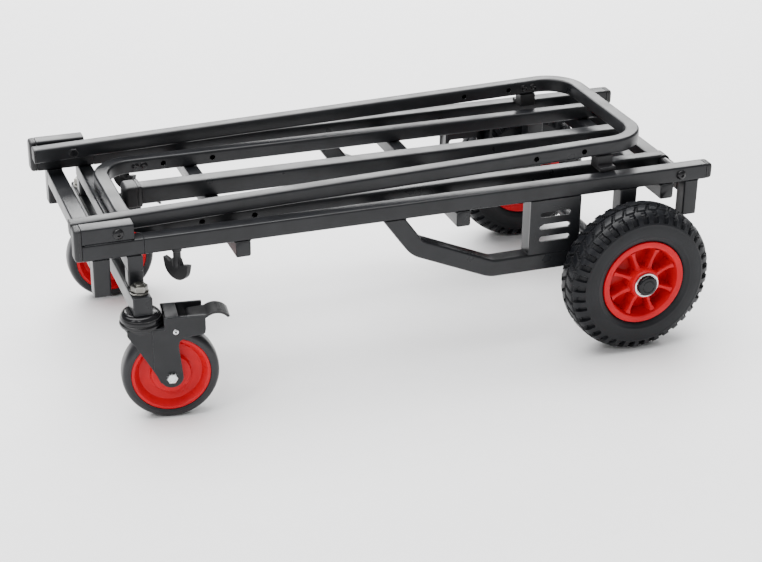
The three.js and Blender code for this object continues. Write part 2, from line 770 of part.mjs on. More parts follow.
const blockX = [SLEEVE_FRONT_X, SLEEVE_FRONT_X + HANDLE_BLOCK_LENGTH];
const blockInside = HANDLE_BLOCK_HEIGHT / 2 - 2;
addPair(
  "handle_block",
  cut(
    barAlongX(blockX, RAIL_Y, FRONT_PIVOT.z, RAIL, HANDLE_BLOCK_HEIGHT, 0),
    block(
      [blockX[0] + 2, blockX[1] - 2],
      [RAIL_INNER_Y + 2, RAIL_OUTER_Y - 2],
      [FRONT_PIVOT.z - blockInside, FRONT_PIVOT.z + blockInside],
    ),
    boltHole(FRONT_PIVOT.x, FRONT_PIVOT.z, acrossRail),
  ),
  BLACK_STEEL,
);

const tallCapHeight = RAIL + GAP + HANDLE_BLOCK_HEIGHT;
const tallCap = endCap(RAIL, tallCapHeight, innerBore - 2 * PLUG_FIT);
addPair(
  "front_end_cap",
  join(tallCap.face, tallCap.nose, tallCap.stub.translate(0, 0, (RAIL - tallCapHeight) / -2))
    .rotateY(Math.PI)
    .translate(SLEEVE_FRONT_X - GAP, RAIL_Y, RAIL_BOTTOM + tallCapHeight / 2),
  BLACK_PLASTIC,
);

const frontLegX = SLEEVE_FRONT_X + FRONT_LEG_SETBACK + RAIL / 2;
addPair("front_leg", leg(frontLegX), BLACK_STEEL);
add(
  "front_crossbar",
  barAlongY(betweenLegs, frontLegX, UNDER_RAIL - BAR_HEIGHT / 2, RAIL, BAR_HEIGHT, BAR_WALL),
  BLACK_STEEL,
);

// Bridge under the rails, carried on two posts by the caster beam.
const bridgeZ = UNDER_RAIL - BAR_HEIGHT / 2;
const postZ = [BEAM_TOP + GAP, bridgeZ - BAR_HEIGHT / 2 + BAR_WALL / 2];
const bridgeInside = [BAR_WIDTH - 2 * BAR_WALL, BAR_HEIGHT - 2 * BAR_WALL];
add(
  "caster_bridge",
  cut(
    join(
      barAlongY([-RAIL_OUTER_Y, RAIL_OUTER_Y], BRIDGE_X, bridgeZ, BAR_WIDTH, BAR_HEIGHT, 0),
      ...[-1, 1].map((side) => barAlongZ(postZ, BRIDGE_X, side * RAIL_Y, BAR_WIDTH, BAR_WIDTH, 0)),
    ),
    barAlongY([-RAIL_OUTER_Y - 1, RAIL_OUTER_Y + 1], BRIDGE_X, bridgeZ, ...bridgeInside, 0, TUBE_CORNER - BAR_WALL),
    ...[-1, 1].map((side) =>
      barAlongZ([postZ[0] - 1, bridgeZ], BRIDGE_X, side * RAIL_Y, bridgeInside[0], bridgeInside[0], 0, 0.7),
    ),
  ),
  BLACK_STEEL,
);

const stemBore = STEM_DIAMETER / 2 + BORE_FIT;
add(
  "caster_beam",
  cut(
    barAlongY([-BEAM_LENGTH / 2, BEAM_LENGTH / 2], BRIDGE_X, (BEAM_TOP + BEAM_BOTTOM) / 2, BEAM, BEAM, 0),
    block(
      [BRIDGE_X - BEAM / 2 + BEAM_WALL, BRIDGE_X + BEAM / 2 - BEAM_WALL],
      [BEAM_WALL - BEAM_LENGTH / 2, BEAM_LENGTH / 2 - BEAM_WALL],
      [BEAM_BOTTOM + BEAM_WALL, BEAM_TOP - BEAM_WALL],
    ),
    ...[-1, 1].map((side) =>
      new THREE.CylinderGeometry(stemBore, stemBore, BEAM + 2, COARSE)
        .rotateX(Math.PI / 2)
        .translate(BRIDGE_X, (side * CASTER_SPREAD) / 2, (BEAM_TOP + BEAM_BOTTOM) / 2),
    ),
  ),
  BLACK_STEEL,
);

// ---- Front hoop ----

const frontArmY = FRONT_HOOP_WIDTH / 2;
addPair(
  "front_pivot_bolt",
  pivotBolt(FRONT_PIVOT.x, FRONT_PIVOT.z, RAIL_OUTER_Y, [frontArmY + GAP, RAIL_INNER_Y - GAP], frontArmY - HOOP_TUBE),
  ZINC,
);

const slotRadius = BOLT / 2 + BORE_FIT;
const slotAcross = [-frontArmY - 1, frontArmY + 1];
const frontHoop = new THREE.Group();
frontHoop.position.set(FRONT_PIVOT.x, 0, FRONT_PIVOT.z);
frontHoop.rotation.y = -FRONT_HOOP_TILT;
truck.add(frontHoop);
const padBolts = [REST_PAD_X + REST_PAD_LENGTH / 4, REST_PAD_X + (3 * REST_PAD_LENGTH) / 4];
add(
  "front_handle",
  cut(
    join(
      hoop(FRONT_HOOP_WIDTH, FRONT_HOOP_REACH, FRONT_HOOP_TAIL, FRONT_HOOP_TAIL + 1),
      ...buttons(padBolts, frontArmY - HOOP_TUBE),
    ),
    block([-DRAW, 0], slotAcross, [-slotRadius, slotRadius]),
    rod(slotRadius, slotAcross, 0, 0),
    rod(slotRadius, slotAcross, -DRAW, 0),
    ...holesAcross(FRONT_HOOP_HOLES, frontArmY + 1),
  ),
  BLACK_STEEL,
  frontHoop,
);

const tailPlug = HOOP_TUBE - 2 * HOOP_WALL - 2 * PLUG_FIT;
const tailPlugDepth = FRONT_HOOP_TAIL - DRAW - slotRadius - GAP;
const armMiddleY = frontArmY - HOOP_TUBE / 2;
addPair(
  "handle_plug",
  join(
    barAlongX([-2, 0], 0, 0, HOOP_TUBE, HOOP_TUBE, 0, HOOP_CORNER),
    barAlongX([-1, tailPlugDepth], 0, 0, tailPlug, tailPlug, 0, 1),
  ).translate(-FRONT_HOOP_TAIL - GAP, armMiddleY, 0),
  BLACK_PLASTIC,
  frontHoop,
);

// The pads stand on the rails, so their height sets how the hoop lies.
const padDrop =
  FRONT_PIVOT.z - RAIL_TOP - GAP + REST_PAD_X * Math.sin(FRONT_HOOP_TILT);
addPair(
  "rest_pad",
  join(
    block(
      [REST_PAD_X, REST_PAD_X + REST_PAD_LENGTH],
      [frontArmY - HOOP_TUBE, frontArmY],
      [-padDrop, -HOOP_TUBE / 2 - GAP],
    ),
    block(
      [REST_PAD_X, REST_PAD_X + REST_PAD_LENGTH],
      [frontArmY - 1, RAIL_INNER_Y + REST_PAD_OVERLAP],
      [-padDrop, -HOOP_TUBE],
    ),
  ),
  BLACK_PLASTIC,
  frontHoop,
);

// ---- Rear hoop ----

const rearHoop = new THREE.Group();
rearHoop.position.set(REAR_PIVOT.x, 0, REAR_PIVOT.z);
rearHoop.rotation.z = Math.PI;
truck.add(rearHoop);
const rearArmMiddleY = rearArmY - HOOP_TUBE / 2;
add(
  "rear_handle",
  cut(
    join(
      hoop(REAR_HOOP_WIDTH, REAR_HOOP_REACH, 0, -HOOP_WALL),
      ...[-1, 1].map((side) => {
        const y = side * rearArmMiddleY;
        return rod(HOOP_TUBE / 2, [y - HOOP_TUBE / 2, y + HOOP_TUBE / 2], 0, 0, 20);
      }),
      ...buttons(REAR_HOOP_BUTTONS, rearArmY - HOOP_TUBE),
    ),
    rod(slotRadius, [-rearArmY - 1, rearArmY + 1], 0, 0),
    ...holesAcross(REAR_HOOP_HOLES, rearArmY + 1),
  ),
  BLACK_STEEL,
  rearHoop,
);

// ---- Casters: each in its own frame, stem axis up through the origin, wheel trailing along +x ----

const turned = (corners, segments) => revolve(corners, segments).rotateX(Math.PI / 2);
const hexagon = (across, height) =>
  new THREE.CylinderGeometry(across / Math.sqrt(3), across / Math.sqrt(3), height, 6);

const ringTop = BEAM_BOTTOM - GAP;
const ringSplit = ringTop - UPPER_RING;
const crownTop = ringSplit - GAP;
const crownBottom = crownTop - LOWER_RING;

function casterStem() {
  const radius = STEM_DIAMETER / 2;
  const foot = crownBottom - GAP;
  const nutBottom = BEAM_TOP + GAP + STEM_WASHER;
  return join(
    turned(
      [
        [0, foot - 3],
        [radius + 2, foot - 3],
        [radius + 3, foot - 1],
        [radius + 3, foot],
        [radius, foot],
        [radius, ringSplit],
        [HEAD_RADIUS - 3, ringSplit],
        [HEAD_RADIUS - 2, ringSplit + 2],
        [HEAD_RADIUS - 6, ringTop],
        [radius, ringTop],
        [radius, BEAM_TOP + GAP],
        [STEM_WASHER_RADIUS, BEAM_TOP + GAP],
        [STEM_WASHER_RADIUS, nutBottom],
        [radius, nutBottom],
        [radius, nutBottom + STEM_NUT_HEIGHT + 2],
        [0, nutBottom + STEM_NUT_HEIGHT + 2],
      ],
      24,
    ),
    hexagon(STEM_NUT, STEM_NUT_HEIGHT)
      .rotateX(Math.PI / 2)
      .translate(0, 0, nutBottom + STEM_NUT_HEIGHT / 2 - 0.5),
  );
}

const axleHoleRadius = BOLT / 2 + BORE_FIT;
const pinRadius = PEDAL_BOSS / 2;

function casterFork() {
  const outline = [
    [5 - HEAD_RADIUS, crownBottom + 1],
    [8 - HEAD_RADIUS, crownBottom - 8],
    [7, 81],
    ...arcPoints(CASTER_TRAIL, CASTER_RADIUS, FORK_END_RADIUS, 205, 355, 10),
    [44, 114],
    [50, 119],
    [HOUSING_END - 3, 121],
    [HOUSING_END, 128],
    [HOUSING_END, HOUSING_TOP],
    [HOUSING_START, HOUSING_TOP],
    [HOUSING_START, crownBottom + 1],
  ];
  const inside = FORK_HALF_WIDTH - FORK_PLATE;
  const crown = turned(
    [
      [stemBore, crownBottom],
      [HEAD_RADIUS - 3, crownBottom],
      [HEAD_RADIUS, crownBottom + 4],
      [HEAD_RADIUS, crownTop - 5],
      [HEAD_RADIUS - 4, crownTop],
      [stemBore, crownTop],
    ],
    24,
  );
  const screws = [-1, 1].map((side) => {
    const outer = side * (FORK_HALF_WIDTH + 2);
    const seated = side * (FORK_HALF_WIDTH - 1);
    return rod(3.6, [Math.min(outer, seated), Math.max(outer, seated)], 41.5, crownBottom - 4, 12);
  });
  return cut(
    join(
      crown,
      plate(outline, [inside, FORK_HALF_WIDTH]),
      plate(outline, [-FORK_HALF_WIDTH, -inside]),
      block([HOUSING_START, HOUSING_START + 3], [-FORK_HALF_WIDTH, FORK_HALF_WIDTH], [crownBottom, HOUSING_TOP]),
      block([HOUSING_START, 46], [-FORK_HALF_WIDTH, FORK_HALF_WIDTH], [HOUSING_TOP - 3, HOUSING_TOP]),
      ...screws,
    ),
    rod(axleHoleRadius, [-FORK_HALF_WIDTH - 1, FORK_HALF_WIDTH + 1], CASTER_TRAIL, CASTER_RADIUS),
    rod(pinRadius + BORE_FIT, [-FORK_HALF_WIDTH - 1, FORK_HALF_WIDTH + 1], PEDAL_PIVOT.x, PEDAL_PIVOT.z, 16),
  );
}

// Pressed down, the pedal turns its cam towards the tread.
function brakePedal() {
  const { x, z } = PEDAL_PIVOT;
  const tabMiddle = (HOUSING_END + PEDAL_REACH) / 2;
  const tabCentreZ = HOUSING_TOP - 22;
  const outer = arcPoints(tabMiddle, tabCentreZ, 21.5, 125, 35, 8);
  const inner = arcPoints(tabMiddle, tabCentreZ, 21.5 - PEDAL_SHEET, 35, 125, 8);
  const lever = [
    ...arcPoints(x, z, PEDAL_BOSS, 100, 250, 8),
    [x + 4, z - 9],
    [x + 8, z - 8],
    [x + 10, z - 2],
    ...inner.toReversed().slice(1),
    ...outer.toReversed(),
  ];
  return join(
    plate(lever, [-PEDAL_WIDTH / 2, PEDAL_WIDTH / 2]),
    rod(pinRadius, [-FORK_HALF_WIDTH, FORK_HALF_WIDTH], x, z, 16),
  );
}

function casterAxleBolt() {
  const head = (side) =>
    hexagon(13, 5).translate(CASTER_TRAIL, side * (FORK_HALF_WIDTH + GAP + 2.5), CASTER_RADIUS);
  return join(
    rod(BOLT / 2, [-FORK_HALF_WIDTH - 3, FORK_HALF_WIDTH + 3], CASTER_TRAIL, CASTER_RADIUS),
    head(-1),
    head(1),
  );
}

const casterHalf = TREAD_WIDTH / 2;
const hubOuter = TREAD_BORE - GAP;
function mirroredProfile(half) {
  return [...half.map(([r, y]) => [r, -y]).toReversed(), ...half];
}

function casterHub() {
  return revolve(
    mirroredProfile([
      [hubOuter, casterHalf - 2],
      [CASTER_RIM_INNER, casterHalf - 2],
      [CASTER_RIM_INNER - 2, 4],
      [CASTER_DISC_RADIUS + 1, 4],
      [CASTER_DISC_RADIUS, casterHalf - 3],
      [CASTER_BOSS_RADIUS, casterHalf - 3],
      [CASTER_BOSS_RADIUS, casterHalf + 2.5],
      [axleHoleRadius, casterHalf + 2.5],
    ]),
  ).translate(CASTER_TRAIL, 0, CASTER_RADIUS);
}

function casterTread() {
  return revolve(
    mirroredProfile([
      [CASTER_RADIUS, casterHalf - 7],
      [CASTER_RADIUS - 1.5, casterHalf - 3],
      [CASTER_RADIUS - 5, casterHalf],
      [TREAD_BORE, casterHalf],
    ]),
  ).translate(CASTER_TRAIL, 0, CASTER_RADIUS);
}

const casterPieces = {
  caster_stem: [casterStem(), ZINC],
  caster_fork: [casterFork(), BLACK_STEEL],
  brake_pedal: [brakePedal(), BLACK_PLASTIC],
  caster_axle_bolt: [casterAxleBolt(), ZINC],
  caster_hub: [casterHub(), RED_PLASTIC],
  caster_tread: [casterTread(), RUBBER],
};
Object.entries(CASTER_TURN).forEach(([side, turn]) => {
  const caster = new THREE.Group();
  caster.position.set(BRIDGE_X, ((side === "left" ? -1 : 1) * CASTER_SPREAD) / 2, 0);
  caster.rotation.z = turn;
  truck.add(caster);
  Object.entries(casterPieces).forEach(([name, [geometry, material]]) => {
    add(`${name}_${side}`, geometry, material, caster);
  });
});

export default group;
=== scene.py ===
"""Convertible hand truck: the looks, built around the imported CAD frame.

Sizes are in millimetres, apart from the floor and the lights, which are in metres.
"""

import math

import bmesh
import bpy
from mathutils import Matrix, Vector, noise
from mathutils.geometry import tessellate_polygon


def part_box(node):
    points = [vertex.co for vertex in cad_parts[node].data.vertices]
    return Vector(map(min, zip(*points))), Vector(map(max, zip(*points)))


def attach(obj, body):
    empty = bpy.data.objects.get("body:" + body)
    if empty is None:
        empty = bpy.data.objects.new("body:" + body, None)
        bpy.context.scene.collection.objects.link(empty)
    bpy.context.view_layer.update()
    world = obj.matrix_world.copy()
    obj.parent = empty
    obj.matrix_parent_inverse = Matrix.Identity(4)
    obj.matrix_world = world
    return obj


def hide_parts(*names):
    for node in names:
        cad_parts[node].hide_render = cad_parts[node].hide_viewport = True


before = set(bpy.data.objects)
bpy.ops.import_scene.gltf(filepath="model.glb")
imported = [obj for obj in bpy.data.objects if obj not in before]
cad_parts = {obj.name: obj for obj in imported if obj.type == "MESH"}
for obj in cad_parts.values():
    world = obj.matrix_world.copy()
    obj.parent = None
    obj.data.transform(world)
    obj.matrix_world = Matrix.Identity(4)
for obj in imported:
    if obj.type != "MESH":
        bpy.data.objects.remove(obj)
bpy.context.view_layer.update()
MM = 0.001
AXLE_X = sum(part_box("rear_axle")[i].x for i in (0, 1)) / 2 / MM
SIDES = (("left", -1), ("right", 1))
RAIL_OUTSIDE = 167.5
RAIL_Y = 155.0
AXLE_Z = 106.5
WHEEL_Y = 201.5
CASTER_Y = 183.0
CASTER_AXLE = (34.5, 0, 63.5)
HOOP_TUBE = 20
FRONT_HOOP_WIDTH = 279
REAR_HOOP_WIDTH = 232
TRUSS_TOP = 221.7
VALVE_REACH = 37
VALVE_ANGLE = 2.75

# ---------------------------------------------------------------- camera and light

camera = bpy.data.objects.new("camera", bpy.data.cameras.new("camera"))
bpy.context.scene.collection.objects.link(camera)
bpy.context.scene.camera = camera
camera.data.sensor_width = 36
camera.data.lens = 83.669
right = Vector((0.93973923, -0.34158329, 0.01452702))
down = Vector((-0.13762953, -0.41684809, -0.8984964))
ahead = Vector((0.31296691, 0.84235297, -0.43874045))
turn = Matrix((right, -down, -ahead)).transposed().to_4x4()
camera.matrix_world = Matrix.Translation(Vector((-1107.56 + AXLE_X, -2166.88, 1177.64)) * MM) @ turn

world = bpy.data.worlds.new("studio")
bpy.context.scene.world = world
world.use_nodes = True
world.node_tree.nodes["Background"].inputs["Color"].default_value = (1, 1, 1, 1)
world.node_tree.nodes["Background"].inputs["Strength"].default_value = 0.36


def area_light(name, place, size, power):
    light = bpy.data.lights.new(name, "AREA")
    light.shape = "RECTANGLE"
    light.size, light.size_y = size
    light.energy = power
    lamp = bpy.data.objects.new(name, light)
    bpy.context.scene.collection.objects.link(lamp)
    lamp.location = place
    lamp.visible_camera = False
    lamp.rotation_mode = "QUATERNION"
    lamp.rotation_quaternion = (Vector((0, 0, 0.15)) - Vector(place)).to_track_quat("-Z", "Y")


area_light("back_panel", (0.95, 2.7, 1.55), (3.2, 0.9), 105)
area_light("front_strip", (-2.2, -1.2, 1.7), (0.5, 1.6), 16)
area_light("near_fill", (0.2, -3.2, 1.0), (2.4, 0.8), 6)
area_light("sparkle", (-1.3, -2.2, 2.4), (0.22, 0.22), 16)

sun = bpy.data.lights.new("sky_panel", "SUN")
sun.energy = 8.2
sun.angle = math.radians(70)
panel = bpy.data.objects.new("sky_panel", sun)
bpy.context.scene.collection.objects.link(panel)
panel.rotation_euler = (math.radians(-16), math.radians(-10), 0)

# ---------------------------------------------------------------- materials


def material(
    name, base, rough, metal=0.0, *, grain=600.0, bump=0.05, drift=0.25, wear=None, shine=0.33
):
    """A painted, moulded or plated surface.

    It has colour drift, patchy gloss and fine grain, and worn edges if wear gives their colour.
    """
    made = bpy.data.materials.new(name)
    made.use_nodes = True
    nodes, links = made.node_tree.nodes, made.node_tree.links
    shader = nodes["Principled BSDF"]
    place = nodes.new("ShaderNodeTexCoord")

    def texture(scale, detail):
        made_noise = nodes.new("ShaderNodeTexNoise")
        made_noise.inputs["Scale"].default_value = scale
        made_noise.inputs["Detail"].default_value = detail
        links.new(place.outputs["Object"], made_noise.inputs["Vector"])
        return made_noise.outputs["Fac"]

    def spread(source, low, high):
        mapped = nodes.new("ShaderNodeMapRange")
        mapped.inputs["From Min"].default_value = 0.3
        mapped.inputs["From Max"].default_value = 0.7
        mapped.inputs["To Min"].default_value = low
        mapped.inputs["To Max"].default_value = high
        links.new(source, mapped.inputs["Value"])
        return mapped.outputs["Result"]

    def mix(factor, first, second):
        mixer = nodes.new("ShaderNodeMix")
        mixer.data_type = "RGBA"
        links.new(factor, mixer.inputs["Factor"])
        for socket, value in ((mixer.inputs[6], first), (mixer.inputs[7], second)):
            if isinstance(value, tuple):
                socket.default_value = (*value, 1)
            else:
                links.new(value, socket)
        return mixer.outputs[2]

    low = tuple(c * (1 - drift) for c in base)
    high = tuple(min(c * (1 + drift), 1) for c in base)
    colour = mix(spread(texture(38, 6), 0, 1), low, high)
    gloss = spread(texture(21, 5), rough - 0.06, rough + 0.07)
    if wear is not None:
        bevel = nodes.new("ShaderNodeBevel")
        bevel.samples = 4
        bevel.inputs["Radius"].default_value = 0.0011
        geometry = nodes.new("ShaderNodeNewGeometry")
        dot = nodes.new("ShaderNodeVectorMath")
        dot.operation = "DOT_PRODUCT"
        links.new(bevel.outputs["Normal"], dot.inputs[0])
        links.new(geometry.outputs["Normal"], dot.inputs[1])
        edge = nodes.new("ShaderNodeMapRange")
        edge.inputs["From Min"].default_value = 0.985
        edge.inputs["From Max"].default_value = 0.90
        links.new(dot.outputs["Value"], edge.inputs["Value"])
        broken = nodes.new("ShaderNodeMath")
        broken.operation = "MULTIPLY"
        links.new(edge.outputs["Result"], broken.inputs[0])
        links.new(spread(texture(160, 4), 0.1, 0.9), broken.inputs[1])
        colour = mix(broken.outputs["Value"], colour, wear)
    links.new(colour, shader.inputs["Base Color"])
    links.new(gloss, shader.inputs["Roughness"])
    shader.inputs["Metallic"].default_value = metal
    shader.inputs["Specular IOR Level"].default_value = 0.5 if metal else shine
    relief = nodes.new("ShaderNodeBump")
    relief.inputs["Strength"].default_value = bump
    relief.inputs["Distance"].default_value = 0.0006
    links.new(texture(grain, 3), relief.inputs["Height"])
    links.new(relief.outputs["Normal"], shader.inputs["Normal"])
    return made


MATERIALS = {
    "black_steel": material(
        "powder_coat", (0.009, 0.0095, 0.011), 0.32, shine=0.27, bump=0.10, wear=(0.060, 0.062, 0.066)
    ),
    "zinc": material(
        "zinc_plate", (0.62, 0.63, 0.64), 0.22, 1.0, grain=900, drift=0.10, wear=(0.8, 0.8, 0.8)
    ),
    "black_plastic": material(
        "moulded_black", (0.009, 0.009, 0.010), 0.42, bump=0.16, wear=(0.04, 0.04, 0.042)
    ),
    "gloss_cap": material(
        "gloss_black", (0.004, 0.004, 0.005), 0.13, bump=0.02, shine=0.22, wear=(0.02, 0.02, 0.02)
    ),
    "red_plastic": material(
        "moulded_red", (0.50, 0.003, 0.010), 0.30, shine=0.14, bump=0.06, drift=0.10, wear=(0.62, 0.03, 0.04)
    ),
    "tyre_rubber": material(
        "tyre_rubber",
        (0.005, 0.0055, 0.007),
        0.40,
        shine=0.22,
        grain=420,
        bump=0.22,
        wear=(0.03, 0.03, 0.032),
    ),
    "tread_rubber": material(
        "tread_rubber", (0.010, 0.010, 0.012), 0.36, grain=500, bump=0.08, wear=(0.03, 0.03, 0.03)
    ),
}
BLACK_BOLT = material(
    "black_bolt", (0.006, 0.006, 0.007), 0.20, shine=0.27, grain=900, bump=0.04, wear=(0.10, 0.10, 0.10)
)
DARK_ZINC = material(
    "dark_zinc", (0.17, 0.165, 0.15), 0.34, 1.0, grain=900, drift=0.15, wear=(0.4, 0.4, 0.38)
)

floor_mesh = bpy.data.meshes.new("floor")
floor_mesh.from_pydata([(-20, -20, 0), (20, -20, 0), (20, 20, 0), (-20, 20, 0)], [], [(0, 1, 2, 3)])
floor = bpy.data.objects.new("floor", floor_mesh)
bpy.context.scene.collection.objects.link(floor)
floor_mesh.materials.append(material("pale_floor", (0.86, 0.86, 0.865), 0.6, bump=0.0, drift=0.008))

# ---------------------------------------------------------------- mesh helpers


def piece(
    name, bm, slot, body, stands_for=(), *, bevel=0.0, steps=3, sharp=34, at=None, spin=0.0, finish=None
):
    """Makes a shown piece from a bmesh, turned by spin about z and moved to at."""
    bmesh.ops.remove_doubles(bm, verts=bm.verts, dist=1e-4)
    bmesh.ops.recalc_face_normals(bm, faces=bm.faces)
    for face in bm.faces:
        face.smooth = True
    for edge in bm.edges:
        if len(edge.link_faces) == 2 and edge.calc_face_angle(0) > math.radians(sharp):
            edge.smooth = False
    bm.transform(Matrix.Scale(MM, 4))
    bm.transform(Matrix.Translation(Vector(at or (0, 0, 0)) * MM) @ Matrix.Rotation(spin, 4, "Z"))
    mesh = bpy.data.meshes.new(name)
    bm.to_mesh(mesh)
    bm.free()
    obj = bpy.data.objects.new(name, mesh)
    bpy.context.scene.collection.objects.link(obj)
    if bevel:
        rounding = obj.modifiers.new("rounding", "BEVEL")
        rounding.width = bevel * MM
        rounding.segments = steps
        rounding.limit_method = "ANGLE"
        rounding.angle_limit = math.radians(38)
        rounding.harden_normals = True
    mesh.materials.append(finish or MATERIALS[slot])
    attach(obj, body)
    if stands_for:
        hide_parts(*stands_for)
    return obj


def drill(obj, cutter):
    """Cuts a bmesh, already in metres, out of a shown piece."""
    mesh = bpy.data.meshes.new("cutter")
    cutter.to_mesh(mesh)
    cutter.free()
    tool = bpy.data.objects.new("cutter", mesh)
    bpy.context.scene.collection.objects.link(tool)
    cut = obj.modifiers.new("cut", "BOOLEAN")
    cut.object = tool
    cut.solver = "EXACT"
    bpy.context.view_layer.update()
    result = bpy.data.meshes.new_from_object(obj.evaluated_get(bpy.context.evaluated_depsgraph_get()))
    obj.modifiers.remove(cut)
    obj.data = result
    bpy.data.objects.remove(tool)
    bpy.data.meshes.remove(mesh)


def ring_section(width, height, corner, steps=6):
    """A rounded rectangle, anticlockwise."""
    points = []
    for cx, cy, start in ((1, -1, -90), (1, 1, 0), (-1, 1, 90), (-1, -1, 180)):
        for k in range(steps + 1):
            a = math.radians(start + 90 * k / steps)
            points.append(
                (
                    cx * (width / 2 - corner) + corner * math.cos(a),
                    cy * (height / 2 - corner) + corner * math.sin(a),
                )
            )
    return points


def loft(bm, rings, close_start=True, close_end=True):
    """Joins rings of equal count into a skin."""
    rows = [[bm.verts.new(p) for p in ring] for ring in rings]
    for a, b in zip(rows, rows[1:]):
        for i in range(len(a)):
            j = (i + 1) % len(a)
            bm.faces.new((a[i], a[j], b[j], b[i]))
    if close_start:
        bm.faces.new(rows[0][::-1])
    if close_end:
        bm.faces.new(rows[-1])
    return rows


def bend_path(corners, radius, steps=14):
    """Rounds a flat path; gives (x, y, heading) stops."""
    stops = []
    for i, corner in enumerate(corners):
        if i in (0, len(corners) - 1):
            a, b = (corners[0], corners[1]) if i == 0 else (corners[-2], corners[-1])
            stops.append((*corner, math.atan2(b[1] - a[1], b[0] - a[0])))
            continue
        before, after = corners[i - 1], corners[i + 1]
        arrive = math.atan2(corner[1] - before[1], corner[0] - before[0])
        leave = math.atan2(after[1] - corner[1], after[0] - corner[0])
        swing = (leave - arrive + math.pi) % (2 * math.pi) - math.pi
        reach = radius * math.tan(abs(swing) / 2)
        lean = math.copysign(radius, swing)
        cx = corner[0] - reach * math.cos(arrive) - lean * math.sin(arrive)
        cy = corner[1] - reach * math.sin(arrive) + lean * math.cos(arrive)
        for k in range(steps + 1):
            h = arrive + swing * k / steps
            stops.append((cx + lean * math.sin(h), cy - lean * math.cos(h), h))
    return stops


def swept_tube(bm, stops, size, corner, wall):
    """A square tube with a hollow inside along level stops."""

    def ring(stop, section):
        x, y, h = stop
        return [(x - u * math.sin(h), y + u * math.cos(h), w) for u, w in section]

    outer = ring_section(size, size, corner)
    inner = ring_section(size - 2 * wall, size - 2 * wall, max(corner - wall, 0.6))
    rings = [ring(s, outer) for s in stops] + [ring(s, inner) for s in stops[::-1]]
    loft(bm, [*rings, rings[0]], False, False)


def straight_tube(node, axis, slot, body, wall=1.5, corner=2.6, lo=None, hi=None):
    """Rebuilds a straight CAD tube from its box, with rounded edges and hollow ends."""
    low, high = (Vector(c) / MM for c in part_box(node))
    if lo is not None:
        low[axis] = lo
    if hi is not None:
        high[axis] = hi
    others = [a for a in range(3) if a != axis]
    size = [high[a] - low[a] for a in others]
    mid = [(high[a] + low[a]) / 2 for a in others]

    def ring(section, t):
        out = []
        for u, w in section:
            p = [0, 0, 0]
            p[axis], p[others[0]], p[others[1]] = t, mid[0] + u, mid[1] + w
            out.append(tuple(p))
        return out

    outer = ring_section(*size, corner)
    thin = [s - 1.0 for s in size]
    soft = ring_section(*thin, corner)
    inner = ring_section(size[0] - 2 * wall, size[1] - 2 * wall, max(corner - wall, 0.6))
    a, b = low[axis], high[axis]
    bm = bmesh.new()
    loft(
        bm,
        [
            ring(inner, a + 20),
            ring(inner, a),
            ring(soft, a),
            ring(outer, a + 0.5),
            ring(outer, b - 0.5),
            ring(soft, b),
            ring(inner, b),
            ring(inner, b - 20),
        ],
    )
    return piece(f"v_{node}", bm, slot, body, [node])


def lathe(bm, profile, segments=96, axis="y", at=(0, 0, 0), closed=False):
    """Revolves (radius, along) points about an axis line through at."""
    rows = []
    for k in range(segments):
        a = 2 * math.pi * k / segments
        row = []
        for r, t in profile:
            u, w = r * math.cos(a), r * math.sin(a)
            p = {"y": (u, t, w), "z": (u, w, t), "x": (t, u, w)}[axis]
            row.append(bm.verts.new(Vector(p) + Vector(at)))
        rows.append(row)
    count = len(profile)
    for k in range(segments):
        a, b = rows[k], rows[(k + 1) % segments]
        for i in range(count if closed else count - 1):
            j = (i + 1) % count
            bm.faces.new((a[i], b[i], b[j], a[j]))


def slab(bm, outline, holes, low, high, plane="xz"):
    """A flat plate with holes, filled between two heights by triangulating its outline."""
    loops = [outline, *holes]
    flat = [Vector((x, z, 0)) for loop in loops for x, z in loop]
    faces = tessellate_polygon([[Vector((x, z, 0)) for x, z in loop] for loop in loops])

    def lift(p, t):
        return {"xz": (p[0], t, p[1]), "xy": (p[0], p[1], t), "yz": (t, p[0], p[1])}[plane]

    bottom = [bm.verts.new(lift(p, low)) for p in flat]
    top = [bm.verts.new(lift(p, high)) for p in flat]
    for a, b, c in faces:
        bm.faces.new((bottom[a], bottom[b], bottom[c]))
        bm.faces.new((top[a], top[c], top[b]))
    start = 0
    for loop in loops:
        n = len(loop)
        for i in range(n):
            a, b = start + i, start + (i + 1) % n
            bm.faces.new((bottom[a], bottom[b], top[b], top[a]))
        start += n


def brick(bm, x, y, z, turned=None):
    made = bmesh.ops.create_cube(bm, size=1)["verts"]
    for v in made:
        v.co = Vector(
            (
                (x[0] + x[1]) / 2 + v.co.x * (x[1] - x[0]),
                (y[0] + y[1]) / 2 + v.co.y * (y[1] - y[0]),
                (z[0] + z[1]) / 2 + v.co.z * (z[1] - z[0]),
            )
        )
    if turned is not None:
        bmesh.ops.transform(bm, matrix=turned, verts=made)
    return made


def arc(cx, cz, r, start, end, steps=16):
    return [
        (
            cx + r * math.cos(math.radians(start + (end - start) * k / steps)),
            cz + r * math.sin(math.radians(start + (end - start) * k / steps)),
        )
        for k in range(steps + 1)
    ]


def box_of(node):
    low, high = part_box(node)
    return low / MM, high / MM


def middle(node):
    low, high = box_of(node)
    return (low + high) / 2


